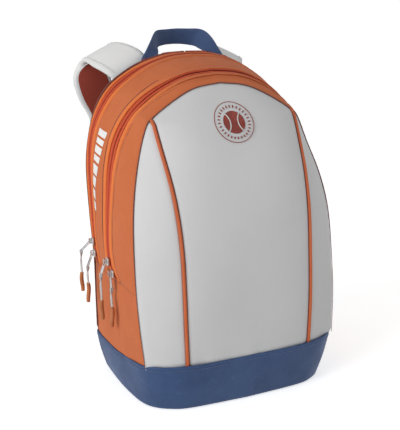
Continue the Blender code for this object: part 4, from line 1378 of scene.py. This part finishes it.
# ---------------------------------------------------------------- zip pulls
def make_pull(name, zip_line, z, cord, tilt, swing):
    tape_x, tape_y, _ = at_height(smooth(zip_line, 400)[:160], z - 1.0)
    hinge = Vector((-tape_x - SLIDER_OUT, tape_y, z))
    turn = Matrix.Rotation(math.radians(tilt), 4, "Y") @ Matrix.Rotation(math.radians(swing), 4, "X")
    at = np.array(hinge + turn.to_3x3() @ Vector((0, 0, -PULLER_EYE)))
    across = np.array(turn.to_3x3() @ Vector((1, 0, 0)))
    grip_top = PULLER_EYE - TAB_END - 2.0 - cord - 0.4

    def strand(way):
        """One side of the loop, from inside the grip to the eye."""
        by = way * STRAND_R
        return [at + offset for offset in (
            np.array([0, by * 1.05, grip_top - 5.0]),
            np.array([0, by * 1.05, grip_top + 1.0]),
            np.array([0, by * 1.3 + 0.96, grip_top + cord * 0.35]),
            np.array([0, by * 1.3 + 1.6, grip_top + cord * 0.7]),
            across * 1.6 * way + np.array([0, 0.2 * way, -2.2]),
            across * 1.2 * way + np.array([0, 0, 0.1]))]

    line = smooth([*strand(-1), at + np.array([0, 0, 0.75]), *strand(1)[::-1]], 70)
    curve = bpy.data.curves.new(f"pull_loop_{name}", "CURVE")
    curve.dimensions = "3D"
    curve.bevel_depth = STRAND_R * MM
    curve.bevel_resolution = 3
    curve.use_fill_caps = True
    curve.materials.append(CORD_WHITE)
    spline = curve.splines.new("POLY")
    spline.points.add(len(line) - 1)
    for target, p in zip(spline.points, line):
        target.co = (*(Vector(p) * MM), 1.0)
    loop = linked(curve.name, curve)
    grip = make_grip(f"pull_sleeve_{name}", at, grip_top, -1 if name.endswith("a") else 1)
    attach(loop, f"pull_{name}", "white_cord", [f"pull_cord_{name}"])
    attach(grip, f"pull_{name}", "clay_grip", [f"pull_grip_{name}"])


def make_grip(name, at, top, bend):
    """A soft sleeve, slightly curved and waisted, with a rolled rim at both ends."""
    profile = [(0.02, 0.6), (1.3, 0.1), (2.0, 0.0), (2.45, -0.5), (2.6, -1.2), (2.45, -2.0)]
    for step in np.linspace(0.12, 0.88, 12):
        girth = 2.5 + 0.28 * math.sin(math.pi * step) + 0.08 * math.sin(step * 40)
        profile.append((girth, -GRIP_LENGTH * step))
    profile += [(2.45, 2.0 - GRIP_LENGTH), (2.6, 1.2 - GRIP_LENGTH), (2.4, 0.45 - GRIP_LENGTH),
                (1.9, -GRIP_LENGTH), (1.2, 0.1 - GRIP_LENGTH), (0.02, 0.5 - GRIP_LENGTH)]
    rows = []
    for radius, height in profile:
        shift = bend * 1.5 * math.sin(2 * math.pi * -height / GRIP_LENGTH * 0.85)
        rows.append([at + np.array([radius * math.cos(a) + shift * 0.6, radius * math.sin(a) + shift * 0.4,
                                    top + height]) for a in turns(20)])
    return closed(name, rows, GRIP)


# ---------------------------------------------------------------- inside
def make_divider():
    """The wall between the compartments, a soft sheet."""
    arch_half = inset(smooth(FRONT_ZIP[2:], 120)[:, [0, 2]], 3.4)
    low = [(116, 8), (128, 40), (135, 100), (140, 150)]
    half = smooth([*low, *arch_half[::10], (0.0, arch_half[-1, 1])], 100)
    rows = flat_arch(half[half[:, 0] > 1.0], 61, FRONT_ZIP_Y + 8.2)
    rows[..., 1] += 0.5 * ripple(rows, 80.0, 61)
    wall = shell("divider_cloth", rows, LINING, 1.2)
    attach(wall, "main", "clay_lining", ["divider_lower"], ["divider_upper"])


def dress_cad():
    """The CAD nodes that stay get detailed finishes."""
    looks = {"base_board": BOARD, "ladder_lock_left": PLASTIC, "ladder_lock_right": PLASTIC}
    for name, *_ in PULLS:
        looks[f"slider_{name}"] = looks[f"puller_{name}"] = METAL
    for name, look in looks.items():
        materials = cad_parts[name].data.materials
        materials.clear()
        materials.append(look)


make_camera()
make_studio()
for pull in PULLS:
    make_pull(*pull)
make_base()
make_sides()
gussets = make_gussets()
make_zips(gussets)
make_front()
make_emblem()
make_side_mark(gussets["middle"])
make_back()
make_back_pads()
make_handle()
for strap_hand, strap_side in HANDS:
    make_strap(strap_hand, strap_side)
    make_lower_webbing(strap_hand, strap_side)
make_divider()
dress_cad()
